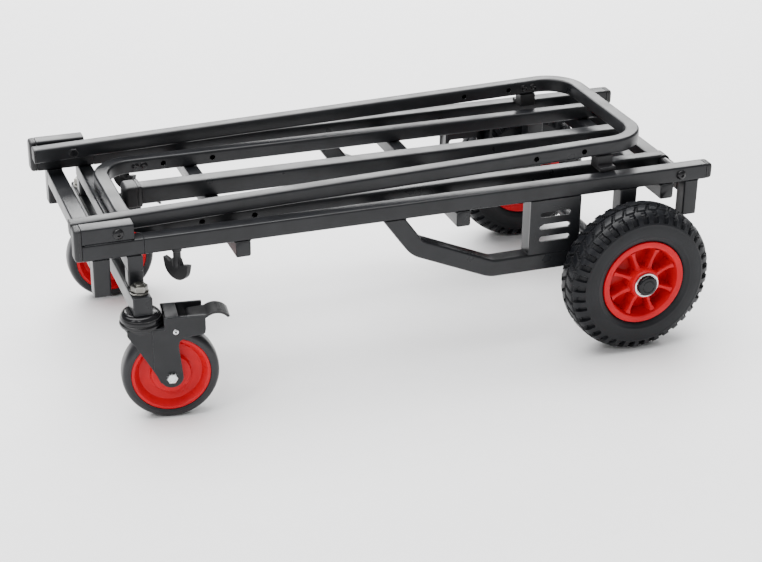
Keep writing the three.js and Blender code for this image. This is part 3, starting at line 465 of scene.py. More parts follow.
def weld(name, body, start, end, radius=1.7):
    """A rippled weld bead between two points."""
    a, b = Vector(start), Vector(end)
    along = (b - a).normalized()
    side = along.orthogonal().normalized()
    other = along.cross(side)
    length = (b - a).length
    count = max(int(length / 0.9), 4)
    rings = []
    for k in range(count + 1):
        t = k / count
        r = radius * (0.86 + 0.22 * abs(math.sin(k * 1.1))) * (0.35 if k in (0, count) else 1)
        c = a + (b - a) * t + Vector((0, 0, 0.25 * noise.noise(a + along * t * 9)))
        rings.append(
            [
                c + side * r * math.cos(2 * math.pi * i / 8) + other * r * math.sin(2 * math.pi * i / 8)
                for i in range(8)
            ]
        )
    bm = bmesh.new()
    loft(bm, rings)
    return piece(name, bm, "black_steel", body, sharp=60)


# ---------------------------------------------------------------- frame tubes

for side, _ in SIDES:
    straight_tube(f"rear_rail_{side}", 0, "black_steel", "rear_frame", wall=1.3)
    straight_tube(f"rear_leg_{side}", 2, "black_steel", "rear_frame")
    straight_tube(f"axle_post_{side}", 2, "black_steel", "rear_frame")
    straight_tube(f"front_leg_{side}", 2, "black_steel", "front_frame")
for k in (1, 2, 3):
    straight_tube(f"crossbar_{k}", 1, "black_steel", "rear_frame")
for k in (1, 2, 3):
    c, (low, high) = middle(f"crossbar_{k}"), box_of(f"crossbar_{k}")
    bm = bmesh.new()
    for sign in (-1, 1):
        end = low.y if sign < 0 else high.y
        stops = ((end - sign * 6, 0.6), (end - sign * 0.4, 0.6), (end, 1.1))
        loft(
            bm,
            [
                [(c.x + u, t, c.z + w) for u, w in ring_section(20 - 2 * e, 21.7 - 2 * e, 2.2)]
                for t, e in stops
            ],
        )
    piece(f"v_crossbar_plug_{k}", bm, "black_steel", "rear_frame")
straight_tube("rear_end_bar", 1, "black_steel", "rear_frame")
straight_tube("front_crossbar", 1, "black_steel", "front_frame")
straight_tube("centre_tube", 0, "black_steel", "rear_frame", corner=3.2)
straight_tube("caster_beam", 1, "black_steel", "front_frame", corner=3.0)
low, high = (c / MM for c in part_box("caster_beam"))
mid_x, mid_z = (low.x + high.x) / 2, (low.z + high.z) / 2
bm = bmesh.new()
for sign in (-1, 1):
    loft(
        bm,
        [
            [(mid_x + u, sign * t, mid_z + w) for u, w in ring_section(25 - 2 * e, 25 - 2 * e, 2.6)]
            for t, e in ((193, 0.5), (199, 0.5), (199.8, 1.2), (200, 2.2))
        ],
    )
piece("v_beam_plugs", bm, "black_steel", "front_frame")

rail_low, rail_high = box_of("rear_rail_right")
block_low, block_high = box_of("handle_block_right")
bridge_low, bridge_high = box_of("caster_bridge")
beam_low, beam_high = box_of("caster_beam")

# Sleeves with the inner rails they carry, and the handle blocks on top.
for side, sign in SIDES:
    y = sign * (rail_low.y + rail_high.y) / 2
    z = (rail_low.z + rail_high.z) / 2
    low, high = box_of(f"front_rail_{side}")
    bm = bmesh.new()
    outer = ring_section(22, 22, 2.6)
    eased = ring_section(21, 21, 2.6)
    inner = ring_section(18.8, 18.8, 1.7)

    def station(section, x, y=y, z=z):
        return [(x, y + u, z + w) for u, w in section]

    seam = block_low.x + 78.5
    loft(
        bm,
        [
            station(eased, low.x),
            station(outer, low.x + 0.5),
            station(outer, seam - 0.5),
            station(eased, seam),
            station(inner, seam),
            station(inner, high.x - 0.5),
            station(ring_section(18, 18, 1.7), high.x),
        ],
    )
    piece(f"v_front_rail_{side}", bm, "black_steel", "front_frame", [f"front_rail_{side}"])

    bm = bmesh.new()
    mid_z = (block_low.z + block_high.z) / 2
    block_height = block_high.z - block_low.z
    loft(
        bm,
        [
            [(x, y + u * k, mid_z + w * k) for u, w in ring_section(22, block_height, 2.6)]
            for x, k in (
                (block_low.x, 0.955),
                (block_low.x + 0.5, 1),
                (block_high.x - 0.9, 1),
                (block_high.x, 0.93),
            )
        ],
    )
    piece(f"v_handle_block_{side}", bm, "black_steel", "front_frame", [f"handle_block_{side}"])
    weld(
        f"v_block_weld_{side}",
        "front_frame",
        (block_high.x - 0.6, y - 9, block_low.z + 0.3),
        (block_high.x - 0.6, y + 9, block_low.z + 0.3),
    )
    for edge_y in (-10.6, 10.6):
        weld(
            f"v_block_seam_{side}_{'a' if edge_y < 0 else 'b'}",
            "front_frame",
            (block_low.x + 3, y + edge_y, block_low.z - 0.15),
            (block_high.x - 3, y + edge_y, block_low.z - 0.15),
            0.75,
        )

# Bridge with its two posts.
bm = bmesh.new()
mid_x = (bridge_low.x + bridge_high.x) / 2
bar_z = bridge_high.z - 21.7 / 2
bridge_ends = (
    (bridge_low.y, 0.95),
    (bridge_low.y + 0.5, 1),
    (bridge_high.y - 0.5, 1),
    (bridge_high.y, 0.95),
)
loft(
    bm,
    [
        [(mid_x + u * k, t, bar_z + w * k) for u, w in ring_section(20, 21.7, 2.6)]
        for t, k in bridge_ends
    ],
)
piece("v_caster_bridge", bm, "black_steel", "front_frame", ["caster_bridge"])
for side, sign in SIDES:
    y = sign * (rail_low.y + rail_high.y) / 2
    bm = bmesh.new()
    loft(
        bm,
        [
            [(mid_x + u, y + w, t) for u, w in ring_section(20, 20, 2.6)]
            for t in (bridge_low.z, bridge_low.z + 12, bar_z - 10)
        ],
    )
    piece(f"v_bridge_post_{side}", bm, "black_steel", "front_frame")
    for dx in (-10, 10):
        weld(
            f"v_post_weld_{side}_{'a' if dx < 0 else 'b'}",
            "front_frame",
            (mid_x + dx, y - 9, beam_high.z + 0.6),
            (mid_x + dx, y + 9, beam_high.z + 0.6),
        )

# Welds under the rails, at each crossbar and post.
for k in (1, 2, 3):
    low, high = box_of(f"crossbar_{k}")
    for side, sign in SIDES:
        for x in (low.x, high.x):
            weld(
                f"v_bar_weld_{k}_{side}_{'a' if x == low.x else 'b'}",
                "rear_frame",
                (x, sign * (rail_low.y + 2), rail_low.z - 0.3),
                (x, sign * (rail_high.y - 2), rail_low.z - 0.3),
            )
for side, sign in SIDES:
    for node in ("axle_post", "rear_leg"):
        low, high = box_of(f"{node}_{side}")
        for x in (low.x, high.x):
            weld(
                f"v_{node}_weld_{side}_{'a' if x == low.x else 'b'}",
                "rear_frame",
                (x, sign * (rail_low.y + 2), rail_low.z - 0.4),
                (x, sign * (rail_high.y - 2), rail_low.z - 0.4),
            )

# Side trusses: the bent tube, its axle lug, and the bead where it meets the rail.
for side, sign in SIDES:
    y = sign * RAIL_Y
    corners = [(12.5, 129.5), (-203, 129.5), (-313, 176.5), (-346, TRUSS_TOP)]
    corners = [(AXLE_X + x, z) for x, z in corners]
    stops = bend_path(corners, 34)
    bm = bmesh.new()
    section = ring_section(25, 25, 3.2)
    rings = []
    for i, (x, z, h) in enumerate(stops):
        ring = [(x - w * math.sin(h), y + u, z + w * math.cos(h)) for u, w in section]
        if i == len(stops) - 1:
            slope = math.tan(h)
            ring = [(px + (TRUSS_TOP - pz) / slope, py, TRUSS_TOP) for px, py, pz in ring]
        rings.append(ring)
    first = stops[0]
    small = ring_section(22, 22, 2)
    bore = [(first[0], y + u, first[1] + w) for u, w in small]
    deep = [(first[0] - 20, y + u, first[1] + w) for u, w in small]
    loft(bm, [deep, bore, *rings])
    brick(bm, (AXLE_X - 17, AXLE_X + 17), (y - 12.5, y + 12.5), (90.5, 118))
    piece(f"v_side_truss_{side}", bm, "black_steel", "rear_frame", [f"side_truss_{side}"], bevel=0.8)
    weld_x = AXLE_X - 331
    weld(f"v_truss_weld_{side}", "rear_frame", (weld_x, y - 11, 221.4), (weld_x, y + 11, 221.4), 2.1)

# Side plates with a generic row of slots.
for side, sign in SIDES:
    low, high = box_of(f"side_plate_{side}")
    cx, cz = (low.x + high.x) / 2, (low.z + high.z) / 2
    rim_line = [(low.x, low.z), (high.x, low.z), (high.x, high.z), (low.x, high.z)]
    slots = []
    for k in (-1, 0, 1):
        z = cz + 18 * k
        slots.append(arc(cx + 19, z, 4, -90, 90) + arc(cx - 19, z, 4, 90, 270))
    bm = bmesh.new()
    outer_y = sign * RAIL_OUTSIDE
    slab(bm, rim_line, slots, *sorted((outer_y, outer_y - sign * 3)))
    for x in (low.x, high.x - 3):
        brick(bm, (x, x + 3), tuple(sorted((outer_y - sign * 3, outer_y - sign * 25))), (low.z, high.z))
    piece(f"v_side_plate_{side}", bm, "black_steel", "rear_frame", [f"side_plate_{side}"], bevel=0.7)
    for x in (low.x, high.x):
        weld(
            f"v_plate_weld_{side}_{'a' if x == low.x else 'b'}",
            "rear_frame",
            (x, outer_y - sign * 2, low.z + 0.2),
            (x, outer_y - sign * 22, low.z + 0.2),
            1.3,
        )

# ---------------------------------------------------------------- plastic ends


def end_cap(name, node, facing, body):
    low, high = box_of(node)
    face_x = high.x if facing > 0 else low.x
    root_x = face_x - facing * 9.5
    size = (high.y - low.y, high.z - low.z)
    y, z = (low.y + high.y) / 2, (low.z + high.z) / 2
    rings = []
    for depth, shrink in ((0, 0.6), (0.5, 0), (3.2, 0), (3.2, 0.5), (3.9, 0.5), (3.9, 0), (5.6, 0.2)):
        rings.append((root_x + facing * depth, shrink))
    for k in range(1, 8):
        a = math.pi / 2 * k / 7
        rings.append((root_x + facing * (5.6 + 3.9 * math.sin(a)), 0.2 + 3.6 * (1 - math.cos(a))))
    bm = bmesh.new()
    loft(
        bm,
        [
            [(x, y + u, z + w) for u, w in ring_section(size[0] - 2 * s, size[1] - 2 * s, 3.4)]
            for x, s in rings
        ],
    )
    piece(name, bm, "black_plastic", body, [node], sharp=50)


for side, _ in SIDES:
    end_cap(f"v_rear_end_cap_{side}", f"rear_end_cap_{side}", 1, "rear_frame")
    end_cap(f"v_front_end_cap_{side}", f"front_end_cap_{side}", -1, "front_frame")

low, high = box_of("centre_tube_boot")
bm = bmesh.new()
boot_z = (low.z + high.z) / 2
boot_stops = (
    (0, 4.0),
    (1, 2.0),
    (3, 0.4),
    (5, 0),
    (17, 0),
    (17.5, 0.8),
    (18.5, 0.8),
    (19, 0),
    (23, 0),
    (24, 0.8),
)
loft(
    bm,
    [
        [(low.x + x, u, boot_z + w) for u, w in ring_section(30 - 2 * e, 30 - 2 * e, 3)]
        for x, e in boot_stops
    ],
)
piece("v_centre_tube_boot", bm, "black_plastic", "rear_frame", ["centre_tube_boot"], sharp=50)

# ---------------------------------------------------------------- fasteners


def button_head(bm, radius, height, base, out, segments=40):
    """Dome head with a round socket, standing at base along y towards out."""
    x, y, z = base
    dome = [(radius, 0), (radius, height * 0.25)]
    dome += [
        (radius * math.cos(a), height * (0.25 + 0.75 * math.sin(a)))
        for a in (math.radians(d) for d in range(8, 66, 8))
    ]
    dome += [(radius * 0.36, height * 0.96), (radius * 0.34, height * 0.35), (0.01, height * 0.3)]
    lathe(bm, [(r, out * t) for r, t in [(0.01, 0), *dome]], segments, "y", (x, y, z))


def pivot(sign, node, body, inner_y, collar):
    """A domed head outside the rail, a collar between rail and arm, and a nut inside the arm."""
    c = middle(node)
    bm = bmesh.new()
    button_head(bm, 7, 4, (c.x, sign * (RAIL_OUTSIDE + 0.3), c.z), sign)
    near, far = (sign * y for y in collar)
    lathe(bm, [(0.01, near), (7.5, near), (7.5, far), (0.01, far)], 40, "y", (c.x, 0, c.z))
    nut = [(0.01, 0), (7, 0), (7, -sign * 3.2), (6.2, -sign * 4), (0.01, -sign * 4)]
    lathe(bm, nut, 6, "y", (c.x, sign * (inner_y - 0.3), c.z))
    piece(f"v_{node}", bm, "zinc", body, [node], sharp=30, finish=BLACK_BOLT)


for side, sign in SIDES:
    pivot(sign, f"rear_pivot_bolt_{side}", "rear_frame", 96, (116.3, 145.2))
    pivot(sign, f"front_pivot_bolt_{side}", "front_pivot", 119.5, (139.8, 145.2))

# ---------------------------------------------------------------- hoops

TILT = math.radians(1.62)
front_pivot = middle("front_pivot_bolt_right")
rear_pivot = middle("rear_pivot_bolt_right")


def hoop_mesh(width, reach, tail):
    y, x = (width - HOOP_TUBE) / 2, reach - HOOP_TUBE / 2
    stops = bend_path([(-tail, -y), (x, -y), (x, y), (-tail, y)], 48, 20)
    bm = bmesh.new()
    swept_tube(bm, stops, HOOP_TUBE, 3.4, 1.5)
    return bm


def place_hoop(bm, pivot_at, tilt, half_turn):
    matrix = Matrix.Translation((pivot_at.x, 0, pivot_at.z)) @ Matrix.Rotation(-tilt, 4, "Y")
    if half_turn:
        matrix = matrix @ Matrix.Rotation(math.pi, 4, "Z")
    bm.transform(matrix)


def studs(name, body, places, half_width, pivot_at, tilt, half_turn):
    """Dome-headed studs on the inner faces of the arms."""
    bm = bmesh.new()
    for x in places:
        for sign in (-1, 1):
            button_head(bm, 5.4, 2, (x, sign * (half_width - HOOP_TUBE), 0), -sign, 28)
    place_hoop(bm, pivot_at, tilt, half_turn)
    piece(name, bm, "black_steel", body, finish=BLACK_BOLT)


def pin_holes(holes, pivot_at, tilt, half_turn):
    """Round cutters through both arms."""
    bm = bmesh.new()
    for x in holes:
        lathe(bm, [(0.001, -160), (4, -160), (4, 160), (0.001, 160)], 32, "y", (x, 0, 0))
    bmesh.ops.remove_doubles(bm, verts=bm.verts, dist=0.01)
    bmesh.ops.recalc_face_normals(bm, faces=bm.faces)
    place_hoop(bm, pivot_at, tilt, half_turn)
    bm.transform(Matrix.Scale(MM, 4))
    return bm


bm = hoop_mesh(FRONT_HOOP_WIDTH, 763, 52)
place_hoop(bm, front_pivot, TILT, False)
hoop = piece("v_front_handle", bm, "black_steel", "front_hoop", ["front_handle"])
drill(hoop, pin_holes((585, 657), front_pivot, TILT, False))
studs("v_front_studs", "front_hoop", (681.5, 696.5), FRONT_HOOP_WIDTH / 2, front_pivot, TILT, False)
bm = hoop_mesh(REAR_HOOP_WIDTH, 779, 0)
place_hoop(bm, rear_pivot, 0, True)
hoop = piece("v_rear_handle", bm, "black_steel", "rear_hoop", ["rear_handle"])
drill(hoop, pin_holes((603, 674), rear_pivot, 0, True))
studs("v_rear_studs", "rear_hoop", (702, 714), REAR_HOOP_WIDTH / 2, rear_pivot, 0, True)
bm = bmesh.new()
knuckle = [(0.01, -10), (9.4, -10), (10, -9.4), (10, 9.4), (9.4, 10), (0.01, 10)]
for sign in (-1, 1):
    lathe(bm, knuckle, 48, "y", (0, sign * (REAR_HOOP_WIDTH - HOOP_TUBE) / 2, 0))
place_hoop(bm, rear_pivot, 0, True)
piece("v_rear_knuckles", bm, "black_steel", "rear_hoop")

for side, sign in SIDES:
    bm = bmesh.new()
    y = sign * (FRONT_HOOP_WIDTH - HOOP_TUBE) / 2
    loft(
        bm,
        [
            [(x, y + u, w) for u, w in ring_section(20 - 2 * s, 20 - 2 * s, 3)]
            for x, s in ((-52.3, 0), (-53.4, 0), (-54.0, 0.5), (-54.3, 1.4))
        ],
    )
    place_hoop(bm, front_pivot, TILT, False)
    piece(f"v_handle_plug_{side}", bm, "black_plastic", "front_hoop", [f"handle_plug_{side}"])
    bm = bmesh.new()
    for reach, top in (((119.5, 139.5), -10.4), ((139, 150.5), -23.5)):
        brick(bm, (677, 701), tuple(sorted(sign * r for r in reach)), (-29.9, top))
    place_hoop(bm, front_pivot, TILT, False)
    piece(f"v_rest_pad_{side}", bm, "black_plastic", "front_hoop", [f"rest_pad_{side}"], bevel=1.6, steps=4)

# ---------------------------------------------------------------- wing screws

WING_BOSS = ((0.01, 0), (6.5, 0), (6.5, 5), (5.2, 6), (5.2, 15), (6.4, 17), (6.4, 26), (0.01, 28))

for side, _ in SIDES:
    c = middle(f"lock_knob_{side}")
    high = box_of(f"lock_knob_{side}")[1]
    bm = bmesh.new()
    lathe(bm, [(r, high.z - drop) for r, drop in WING_BOSS], 36, "z", (c.x, c.y, 0))
    top = high.z - 19
    blade = [(-20, top), (-18.5, top - 9)]
    sweep = (math.radians(d) for d in range(196, 345, 8))
    blade += [(18.5 * math.cos(a), top - 7 + 19 * math.sin(a)) for a in sweep]
    blade += [(18.5, top - 9), (20, top), (14, top - 1.5), (7.5, top - 4), (5, top + 3)]
    blade += [(-5, top + 3), (-7.5, top - 4), (-14, top - 1.5)]
    wing = bmesh.new()
    slab(wing, blade, [], -3.5, 3.5)
    wing.transform(Matrix.Diagonal((1.14, 1, 1, 1)))
    wing.transform(Matrix.Translation((c.x, c.y, 0)) @ Matrix.Rotation(math.radians(-60), 4, "Z"))
    piece(f"v_wing_{side}", wing, "black_plastic", f"lock_knob_{side}", bevel=1.7, steps=4)
    piece(f"v_lock_knob_{side}", bm, "black_plastic", f"lock_knob_{side}", [f"lock_knob_{side}"])

# ---------------------------------------------------------------- rear wheels


def smooth_line(points, per=6):
    """Catmull-Rom through the points."""
    out = []
    p = [points[0], *points, points[-1]]
    for i in range(1, len(p) - 2):
        for k in range(per):
            t = k / per
            out.append(
                tuple(
                    0.5
                    * (
                        2 * p[i][a]
                        + (p[i + 1][a] - p[i - 1][a]) * t
                        + (2 * p[i - 1][a] - 5 * p[i][a] + 4 * p[i + 1][a] - p[i + 2][a]) * t * t
                        + (3 * p[i][a] - p[i - 1][a] - 3 * p[i + 1][a] + p[i + 2][a]) * t**3
                    )
                    for a in (0, 1)
                )
            )
    out.append(points[-1])
    return out


HALF_TYRE = [(61.3, 25.6), (65, 28.6), (74, 30.9), (85, 30.6), (93, 28.6), (99, 25.2)]
HALF_TYRE += [(103.4, 19.6), (105.7, 12), (106.4, 5), (106.5, 0)]
LUGS = 38
PER_LUG = 10


def tread_depth(turn_share, y):
    """How far the surface lies below the lugs at a place round the tyre."""
    reach = abs(y)
    if reach > 29.4:
        return 0.0
    phase = (turn_share * LUGS + (0.5 if y > 0 else 0.0)) % 1.0
    if reach > 17.5:
        wall = 0.34 if reach < 24 else 0.44
        return 4.4 if phase < wall else 0.0
    if 15.0 < reach <= 17.5:
        return 2.6
    skew = (phase + reach / 15.0 * 0.5) % 1.0
    if reach < 1.6:
        return 2.2
    return 3.4 if skew < 0.26 else 0.0


def tyre_mesh():
    half = smooth_line(HALF_TYRE, 7)
    line = [(r, y) for r, y in half] + [(r, -y) for r, y in half[-2::-1]]
    around = LUGS * PER_LUG
    bm = bmesh.new()
    rows = []
    for k in range(around):
        share = k / around
        a = 2 * math.pi * share
        row = []
        for r, y in line:
            depth = tread_depth(share, y) if r > 90 else 0.0
            ridge = 0.7 * math.exp(-(((r - 70) / 1.1) ** 2)) + 0.5 * math.exp(-(((r - 88) / 1.0) ** 2))
            scale = 1 - depth / max(r, 1)
            side = math.copysign(1, y) if abs(y) > 20 else 0
            yy = y - side * (depth * 0.55) + side * min(ridge, 31 - abs(y))
            row.append(bm.verts.new((r * scale * math.sin(a), yy, r * scale * math.cos(a))))
        inner = [(57.0, -21.0), (54.0, -18.0), (54.0, 18.0), (57.0, 21.0)]
        row += [bm.verts.new((r * math.sin(a), y, r * math.cos(a))) for r, y in inner]
        rows.append(row)
    count = len(rows[0])
    for k in range(around):
        a, b = rows[k], rows[(k + 1) % around]
        for i in range(count):
            j = (i + 1) % count
            bm.faces.new((a[i], b[i], b[j], a[j]))
    return bm


SPOKE_STOPS = ((19.5, 7.6, 27.5), (24, 5.8, 25.6), (34, 4.4, 23.4), (43, 4.8, 24), (49.5, 7.6, 25.6))
VALVE = [(0.5, 6.6), (3.6, 6.6), (3.6, 9.5), (2.6, 10), (2.6, 19), (2.0, 20), (0.5, 20.2)]


def rim_mesh():
    """Deep spoked rim, with its outer face to +y."""
    bm = bmesh.new()
    shell = [(47.9, -28), (60, -28), (60.9, -27.2), (60.9, -24), (52, -19.5), (51.9, 19.5)]
    shell += [(60.9, 24), (60.9, 27), (60.2, 28), (58, 28.3), (54.5, 28.2), (52.2, 27.4)]
    shell += [(51.2, 25.5), (48.6, 12), (47.9, 6)]
    lathe(bm, shell, 120, "y", closed=True)
    web = [(20, 1.0), (48.5, 1.0), (48.5, 5.2), (46.8, 6.2), (24.5, 6.8), (22.8, 8), (20, 8)]
    lathe(bm, web, 96, "y", closed=True)
    hub = [(8.4, -29), (22, -29), (22.0, 26), (21.4, 30), (20.6, 33.2), (19.6, 34.4), (8.4, 34.4)]
    lathe(bm, hub, 96, "y", closed=True)
    for k in range(8):
        a = 2 * math.pi * (k + 0.5) / 8
        rib = bmesh.new()
        rings = []
        for r, width, top in SPOKE_STOPS:
            rings.append(
                [
                    (r, 5.4, -width * 0.8),
                    (r, 5.4, width * 0.8),
                    (r, top - 0.9, width / 2),
                    (r, top, width / 2 - 0.9),
                    (r, top, -width / 2 + 0.9),
                    (r, top - 0.9, -width / 2),
                ]
            )
        loft(rib, rings)
        rib.transform(Matrix.Rotation(a, 4, "Y"))
        holder = bpy.data.meshes.new("rib")
        rib.to_mesh(holder)
        rib.free()
        bm.from_mesh(holder)
        bpy.data.meshes.remove(holder)
    return bm


for side, sign in SIDES:
    centre = (AXLE_X, sign * WHEEL_Y, AXLE_Z)
    mirror = Matrix.Scale(sign, 4, (0, 1, 0))
    bm = tyre_mesh()
    bm.transform(mirror)
    wheel = f"rear_wheel_{side}"
    piece(f"v_rear_tyre_{side}", bm, "tyre_rubber", wheel, [f"rear_tyre_{side}"], sharp=42, at=centre)
    bm = rim_mesh()
    bm.transform(mirror)
    piece(f"v_rear_rim_{side}", bm, "red_plastic", wheel, [f"rear_rim_{side}"], sharp=40, at=centre)
    bm = bmesh.new()
    lathe(bm, VALVE, 20, "y")
    valve_at = (VALVE_REACH * math.sin(VALVE_ANGLE), 0, VALVE_REACH * math.cos(VALVE_ANGLE))
    bm.transform(Matrix.Translation(valve_at))
    bm.transform(mirror)
    piece(f"v_valve_{side}", bm, "tyre_rubber", wheel, at=centre)
    # Bearing ring, washer and gloss cap at the end of the axle.
    bm = bmesh.new()
    cup = [(14.6, 0), (17.2, 0), (17.8, 0.5), (17.8, 1.7), (17.0, 2.4), (15.8, 2.4), (15.0, 1.4), (14.6, 1.4)]
    lathe(bm, [(r, sign * (236.3 + t)) for r, t in cup], 72, "y", (AXLE_X, 0, AXLE_Z), closed=True)
    collar = [(8.4, 0), (12.4, 0), (13, 0.6), (13, 3.8), (12.4, 4.4), (8.4, 4.4)]
    lathe(bm, [(r, sign * (167.8 + t)) for r, t in collar], 48, "y", (AXLE_X, 0, AXLE_Z), closed=True)
    piece(f"v_hub_ring_{side}", bm, "zinc", "rear_frame", ["rear_axle"])
    bm = bmesh.new()
    dome = [(0.01, 0), (14.2, 0), (14.4, 0.6), (14.4, 2.8), (13.6, 4.2), (12.4, 4.8), (9.4, 5.0), (8.8, 4.4)]
    dome += [(8.0, 4.4), (7.4, 5.1), (0.01, 5.4)]
    lathe(bm, [(r, sign * (238.6 + t)) for r, t in dome], 72, "y", (AXLE_X, 0, AXLE_Z))
    piece(f"v_axle_cap_{side}", bm, "gloss_cap", "rear_frame", [f"axle_cap_{side}"])

bm = bmesh.new()
shaft = [(0.01, -236), (7.2, -236), (8, -235.2), (8, 235.2), (7.2, 236), (0.01, 236)]
lathe(bm, shaft, 48, "y", (AXLE_X, 0, AXLE_Z))
piece("v_axle", bm, "black_steel", "rear_frame", ["rear_axle"])

# ---------------------------------------------------------------- casters

STEM_X = (beam_low.x + beam_high.x) / 2
TURNS = {"left": math.radians(-7), "right": 0.0}


def caster_part(name, bm, slot, body, side, sign, stands_for=(), **options):
    place = {"at": (STEM_X, sign * CASTER_Y, 0), "spin": TURNS[side]}
    return piece(f"v_{name}_{side}", bm, slot, body, stands_for, **place, **options)


# The cheek of the fork, and the step pressed into it, in the caster's own upright plane.
FORK_LINE = [(-20, 133.6), (-20, 128), (-17.6, 123.4), (-11, 114), (7.5, 81.5)]
FORK_LINE += [*arc(34.5, 63.5, 15, 205, 355, 22), (46.5, 90), (44.6, 108), (46.4, 114.5), (52, 118.6)]
FORK_LINE += [(62, 120.4), (76, 121.4), (79, 123.5), (80, 128), (80, 149.2), (27, 149.2), (27, 135)]
STEP_LINE = [(12, 133), (12, 76), (19.5, 57), *arc(34.5, 63.5, 13.8, 215, 350, 18), (45, 90)]
STEP_LINE += [(43.6, 108), (45.4, 115.4), (51.4, 119.6), (62, 121.4), (75.4, 122.4), (78.2, 124.4)]
STEP_LINE += [(79.2, 128), (79.2, 148.4), (28, 148.4), (28, 133)]
CROWN = [(6.3, 133.3), (24.5, 133.3), (27, 134.4), (27.9, 136.4), (27.7, 138.4), (26.6, 139.7)]
CROWN += [(25.9, 140.2), (26.4, 141.2), (26.9, 143), (26.7, 145.2), (26, 146.8), (6.3, 146.8)]
# Height, half sizes along x and y, and how square the corners are.
NECK = (
    (134.9, 25.4, 25.4, 1.0),
    (133.4, 25.2, 25.2, 1.0),
    (131, 23.4, 23.8, 0.9),
    (129, 21.4, 22.5, 0.75),
    (127.6, 20.2, 22.2, 0.65),
)
STEM_WASHER = [(5.9, 178.3), (11.6, 178.3), (12, 178.7), (12, 180.3), (11.6, 180.7), (5.9, 180.7)]
STEM_NUT = [(5.9, 180.7), (9.8, 180.7), (10.95, 181.6), (10.95, 188.3), (9.8, 189.3)]
STEM_NUT += [(6.4, 189.3), (5.9, 188.6)]
HALF_HUB = [(51.6, 12.8), (50.8, 13.6), (47.6, 13.6), (46.4, 12.4), (42.6, 6.4), (40.8, 4.4)]
HALF_HUB += [(38.6, 4.0), (28.2, 4.0), (26.8, 4.8), (26.0, 10.4), (25.2, 11.8), (23.4, 12.2)]
HALF_HUB += [(13.4, 12.6), (12.4, 13.4), (12, 16.8), (11.2, 17.4), (4.5, 17.4)]
HALF_TREAD = [(63.5, 0), (63.4, 5), (62.9, 9), (61.6, 12.4), (59.4, 14.4), (57.2, 15), (54.6, 15)]
HALF_TREAD += [(53.6, 14.2), (52, 14.0)]


def squared(t, power):
    """A point of a rounded square of half size 1."""
    x, y = math.cos(t), math.sin(t)
    return math.copysign(abs(x) ** power, x), math.copysign(abs(y) ** power, y)


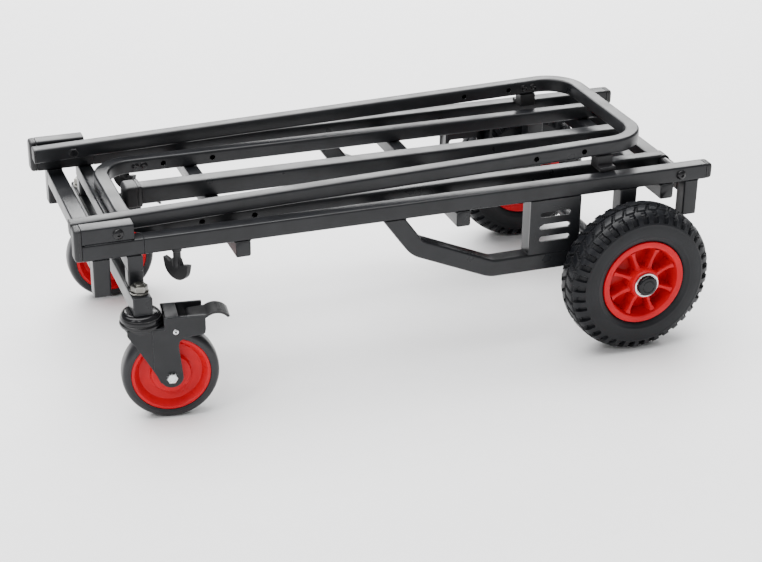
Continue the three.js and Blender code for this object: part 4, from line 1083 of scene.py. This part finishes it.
for side, sign in SIDES:
    holder = f"caster_{side}"
    bm = bmesh.new()
    lathe(bm, CROWN, 96, "z", closed=True)
    caster_part("fork_crown", bm, "black_steel", holder, side, sign, finish=BLACK_BOLT)
    bm = bmesh.new()
    for low_y, high_y in ((-22, -19), (19, 22)):
        slab(bm, FORK_LINE, [], low_y, high_y)
    caster_part("caster_fork", bm, "black_steel", holder, side, sign, [f"caster_fork_{side}"], bevel=0.9)
    # Neck from the round crown to the flat cheeks, and the pressed step down each cheek.
    bm = bmesh.new()
    rings = []
    for z, half_x, half_y, power in NECK:
        points = (squared(2 * math.pi * k / 64, power) for k in range(64))
        rings.append([(half_x * x, half_y * y, z) for x, y in points])
    loft(bm, rings)
    caster_part("fork_neck", bm, "black_steel", holder, side, sign)
    bm = bmesh.new()
    for low_y, high_y in ((-22.9, -21.9), (21.9, 22.9)):
        slab(bm, STEP_LINE, [], low_y, high_y)
    caster_part("fork_step", bm, "black_steel", holder, side, sign, bevel=0.8)
    bm = bmesh.new()
    brick(bm, (27, 30), (-19.2, 19.2), (133.4, 149.2))
    brick(bm, (27, 46), (-19.2, 19.2), (146.2, 149.2))
    brick(bm, (-20, 27), (-19.2, 19.2), (131.8, 133.6))
    caster_part("brake_housing", bm, "black_steel", holder, side, sign, bevel=0.7)
    bm = bmesh.new()
    for out in (-1, 1):
        button_head(bm, 3.8, 2.0, (41.5, out * 22, 128.6), out, 28)
    caster_part("housing_screw", bm, "zinc", holder, side, sign)
    # Stem: upper race, washer, chamfered nut and threaded end.
    bm = bmesh.new()
    race = [(6, 147), (25.8, 147), (25.2, 148.7), (23.8, 150.6), (21.6, 152.1), (18.5, 152.8), (6, 152.8)]
    lathe(bm, race, 96, "z", closed=True)
    caster_part("upper_race", bm, "black_steel", "front_frame", side, sign, finish=BLACK_BOLT)
    bm = bmesh.new()
    lathe(bm, STEM_WASHER, 48, "z", closed=True)
    lathe(bm, STEM_NUT, 6, "z", closed=True)
    stem = [(0.01, 130.7), (7.4, 130.7), (8.8, 132), (8.8, 133), (6, 133), (6, 181)]
    for k in range(6):
        stem += [(6, 185 + k), (5.5, 185.5 + k)]
    stem += [(5.2, 191.3), (0.01, 191.6)]
    lathe(bm, stem, 40, "z")
    stem_node = [f"caster_stem_{side}"]
    caster_part("caster_stem", bm, "zinc", "front_frame", side, sign, stem_node, sharp=28, finish=DARK_ZINC)
    # Pedal: curled tab with grip ribs, cam and pin.
    bm = bmesh.new()
    tab_x, tab_z = 95, 128
    lever = arc(64, 138, 6, 96, 250, 12) + [(68, 129), (72, 130), (74, 136)]
    for radius, degrees in ((18.2, range(122, 35, -6)), (21.4, range(36, 129, 6))):
        for a in map(math.radians, degrees):
            lever.append((tab_x + radius * math.cos(a), tab_z + radius * math.sin(a)))
    slab(bm, lever, [], -15, 15)
    pedal_node = [f"brake_pedal_{side}"]
    caster_part("brake_pedal", bm, "black_plastic", f"brake_{side}", side, sign, pedal_node, bevel=1.1)
    bm = bmesh.new()
    for d in (52, 62, 72, 82):
        a = math.radians(d)
        c = Vector((tab_x + 21.2 * math.cos(a), 0, tab_z + 21.2 * math.sin(a)))
        turned = Matrix.Translation(c) @ Matrix.Rotation(math.pi / 2 - a, 4, "Y")
        brick(bm, (-0.6, 0.6), (-11, 11), (-0.5, 0.5), turned)
    lathe(bm, [(0.01, -22), (2.6, -22), (3, -21.6), (3, 21.6), (2.6, 22), (0.01, 22)], 24, "y", (64, 0, 138))
    caster_part("pedal_grip", bm, "black_plastic", f"brake_{side}", side, sign, bevel=0.25)
    # Axle bolt with a chamfered hexagon head, washer and nut.
    bm = bmesh.new()
    for out in (-1, 1):
        plate = [(4, out * 22.1), (7.4, out * 22.1), (7.4, out * 22.9), (4, out * 22.9)]
        lathe(bm, plate, 32, "y", CASTER_AXLE, closed=True)
        head = ((0.01, 22.9), (6.6, 22.9), (7.5, 23.5), (7.5, 26.4), (6.5, 27.3))
        head += ((4.6, 27.3), (4.2, 26.9), (0.01, 26.9))
        lathe(bm, [(r, out * t) for r, t in head], 6, "y", CASTER_AXLE)
    lathe(bm, [(0.01, -23), (4, -23), (4, 23), (0.01, 23)], 24, "y", CASTER_AXLE)
    caster_part("caster_axle_bolt", bm, "zinc", holder, side, sign, [f"caster_axle_bolt_{side}"], sharp=28)
    # Red centre: outer ring, sunk web, raised disc and boss.
    rolling = f"caster_wheel_{side}"
    bm = bmesh.new()
    lathe(bm, [(r, -t) for r, t in HALF_HUB[::-1]] + HALF_HUB, 112, "y", CASTER_AXLE, closed=True)
    caster_part("caster_hub", bm, "red_plastic", rolling, side, sign, [f"caster_hub_{side}"])
    bm = bmesh.new()
    lathe(bm, [(r, -t) for r, t in HALF_TREAD[::-1]] + HALF_TREAD[1:], 144, "y", CASTER_AXLE, closed=True)
    caster_part("caster_tread", bm, "tread_rubber", rolling, side, sign, [f"caster_tread_{side}"], sharp=50)
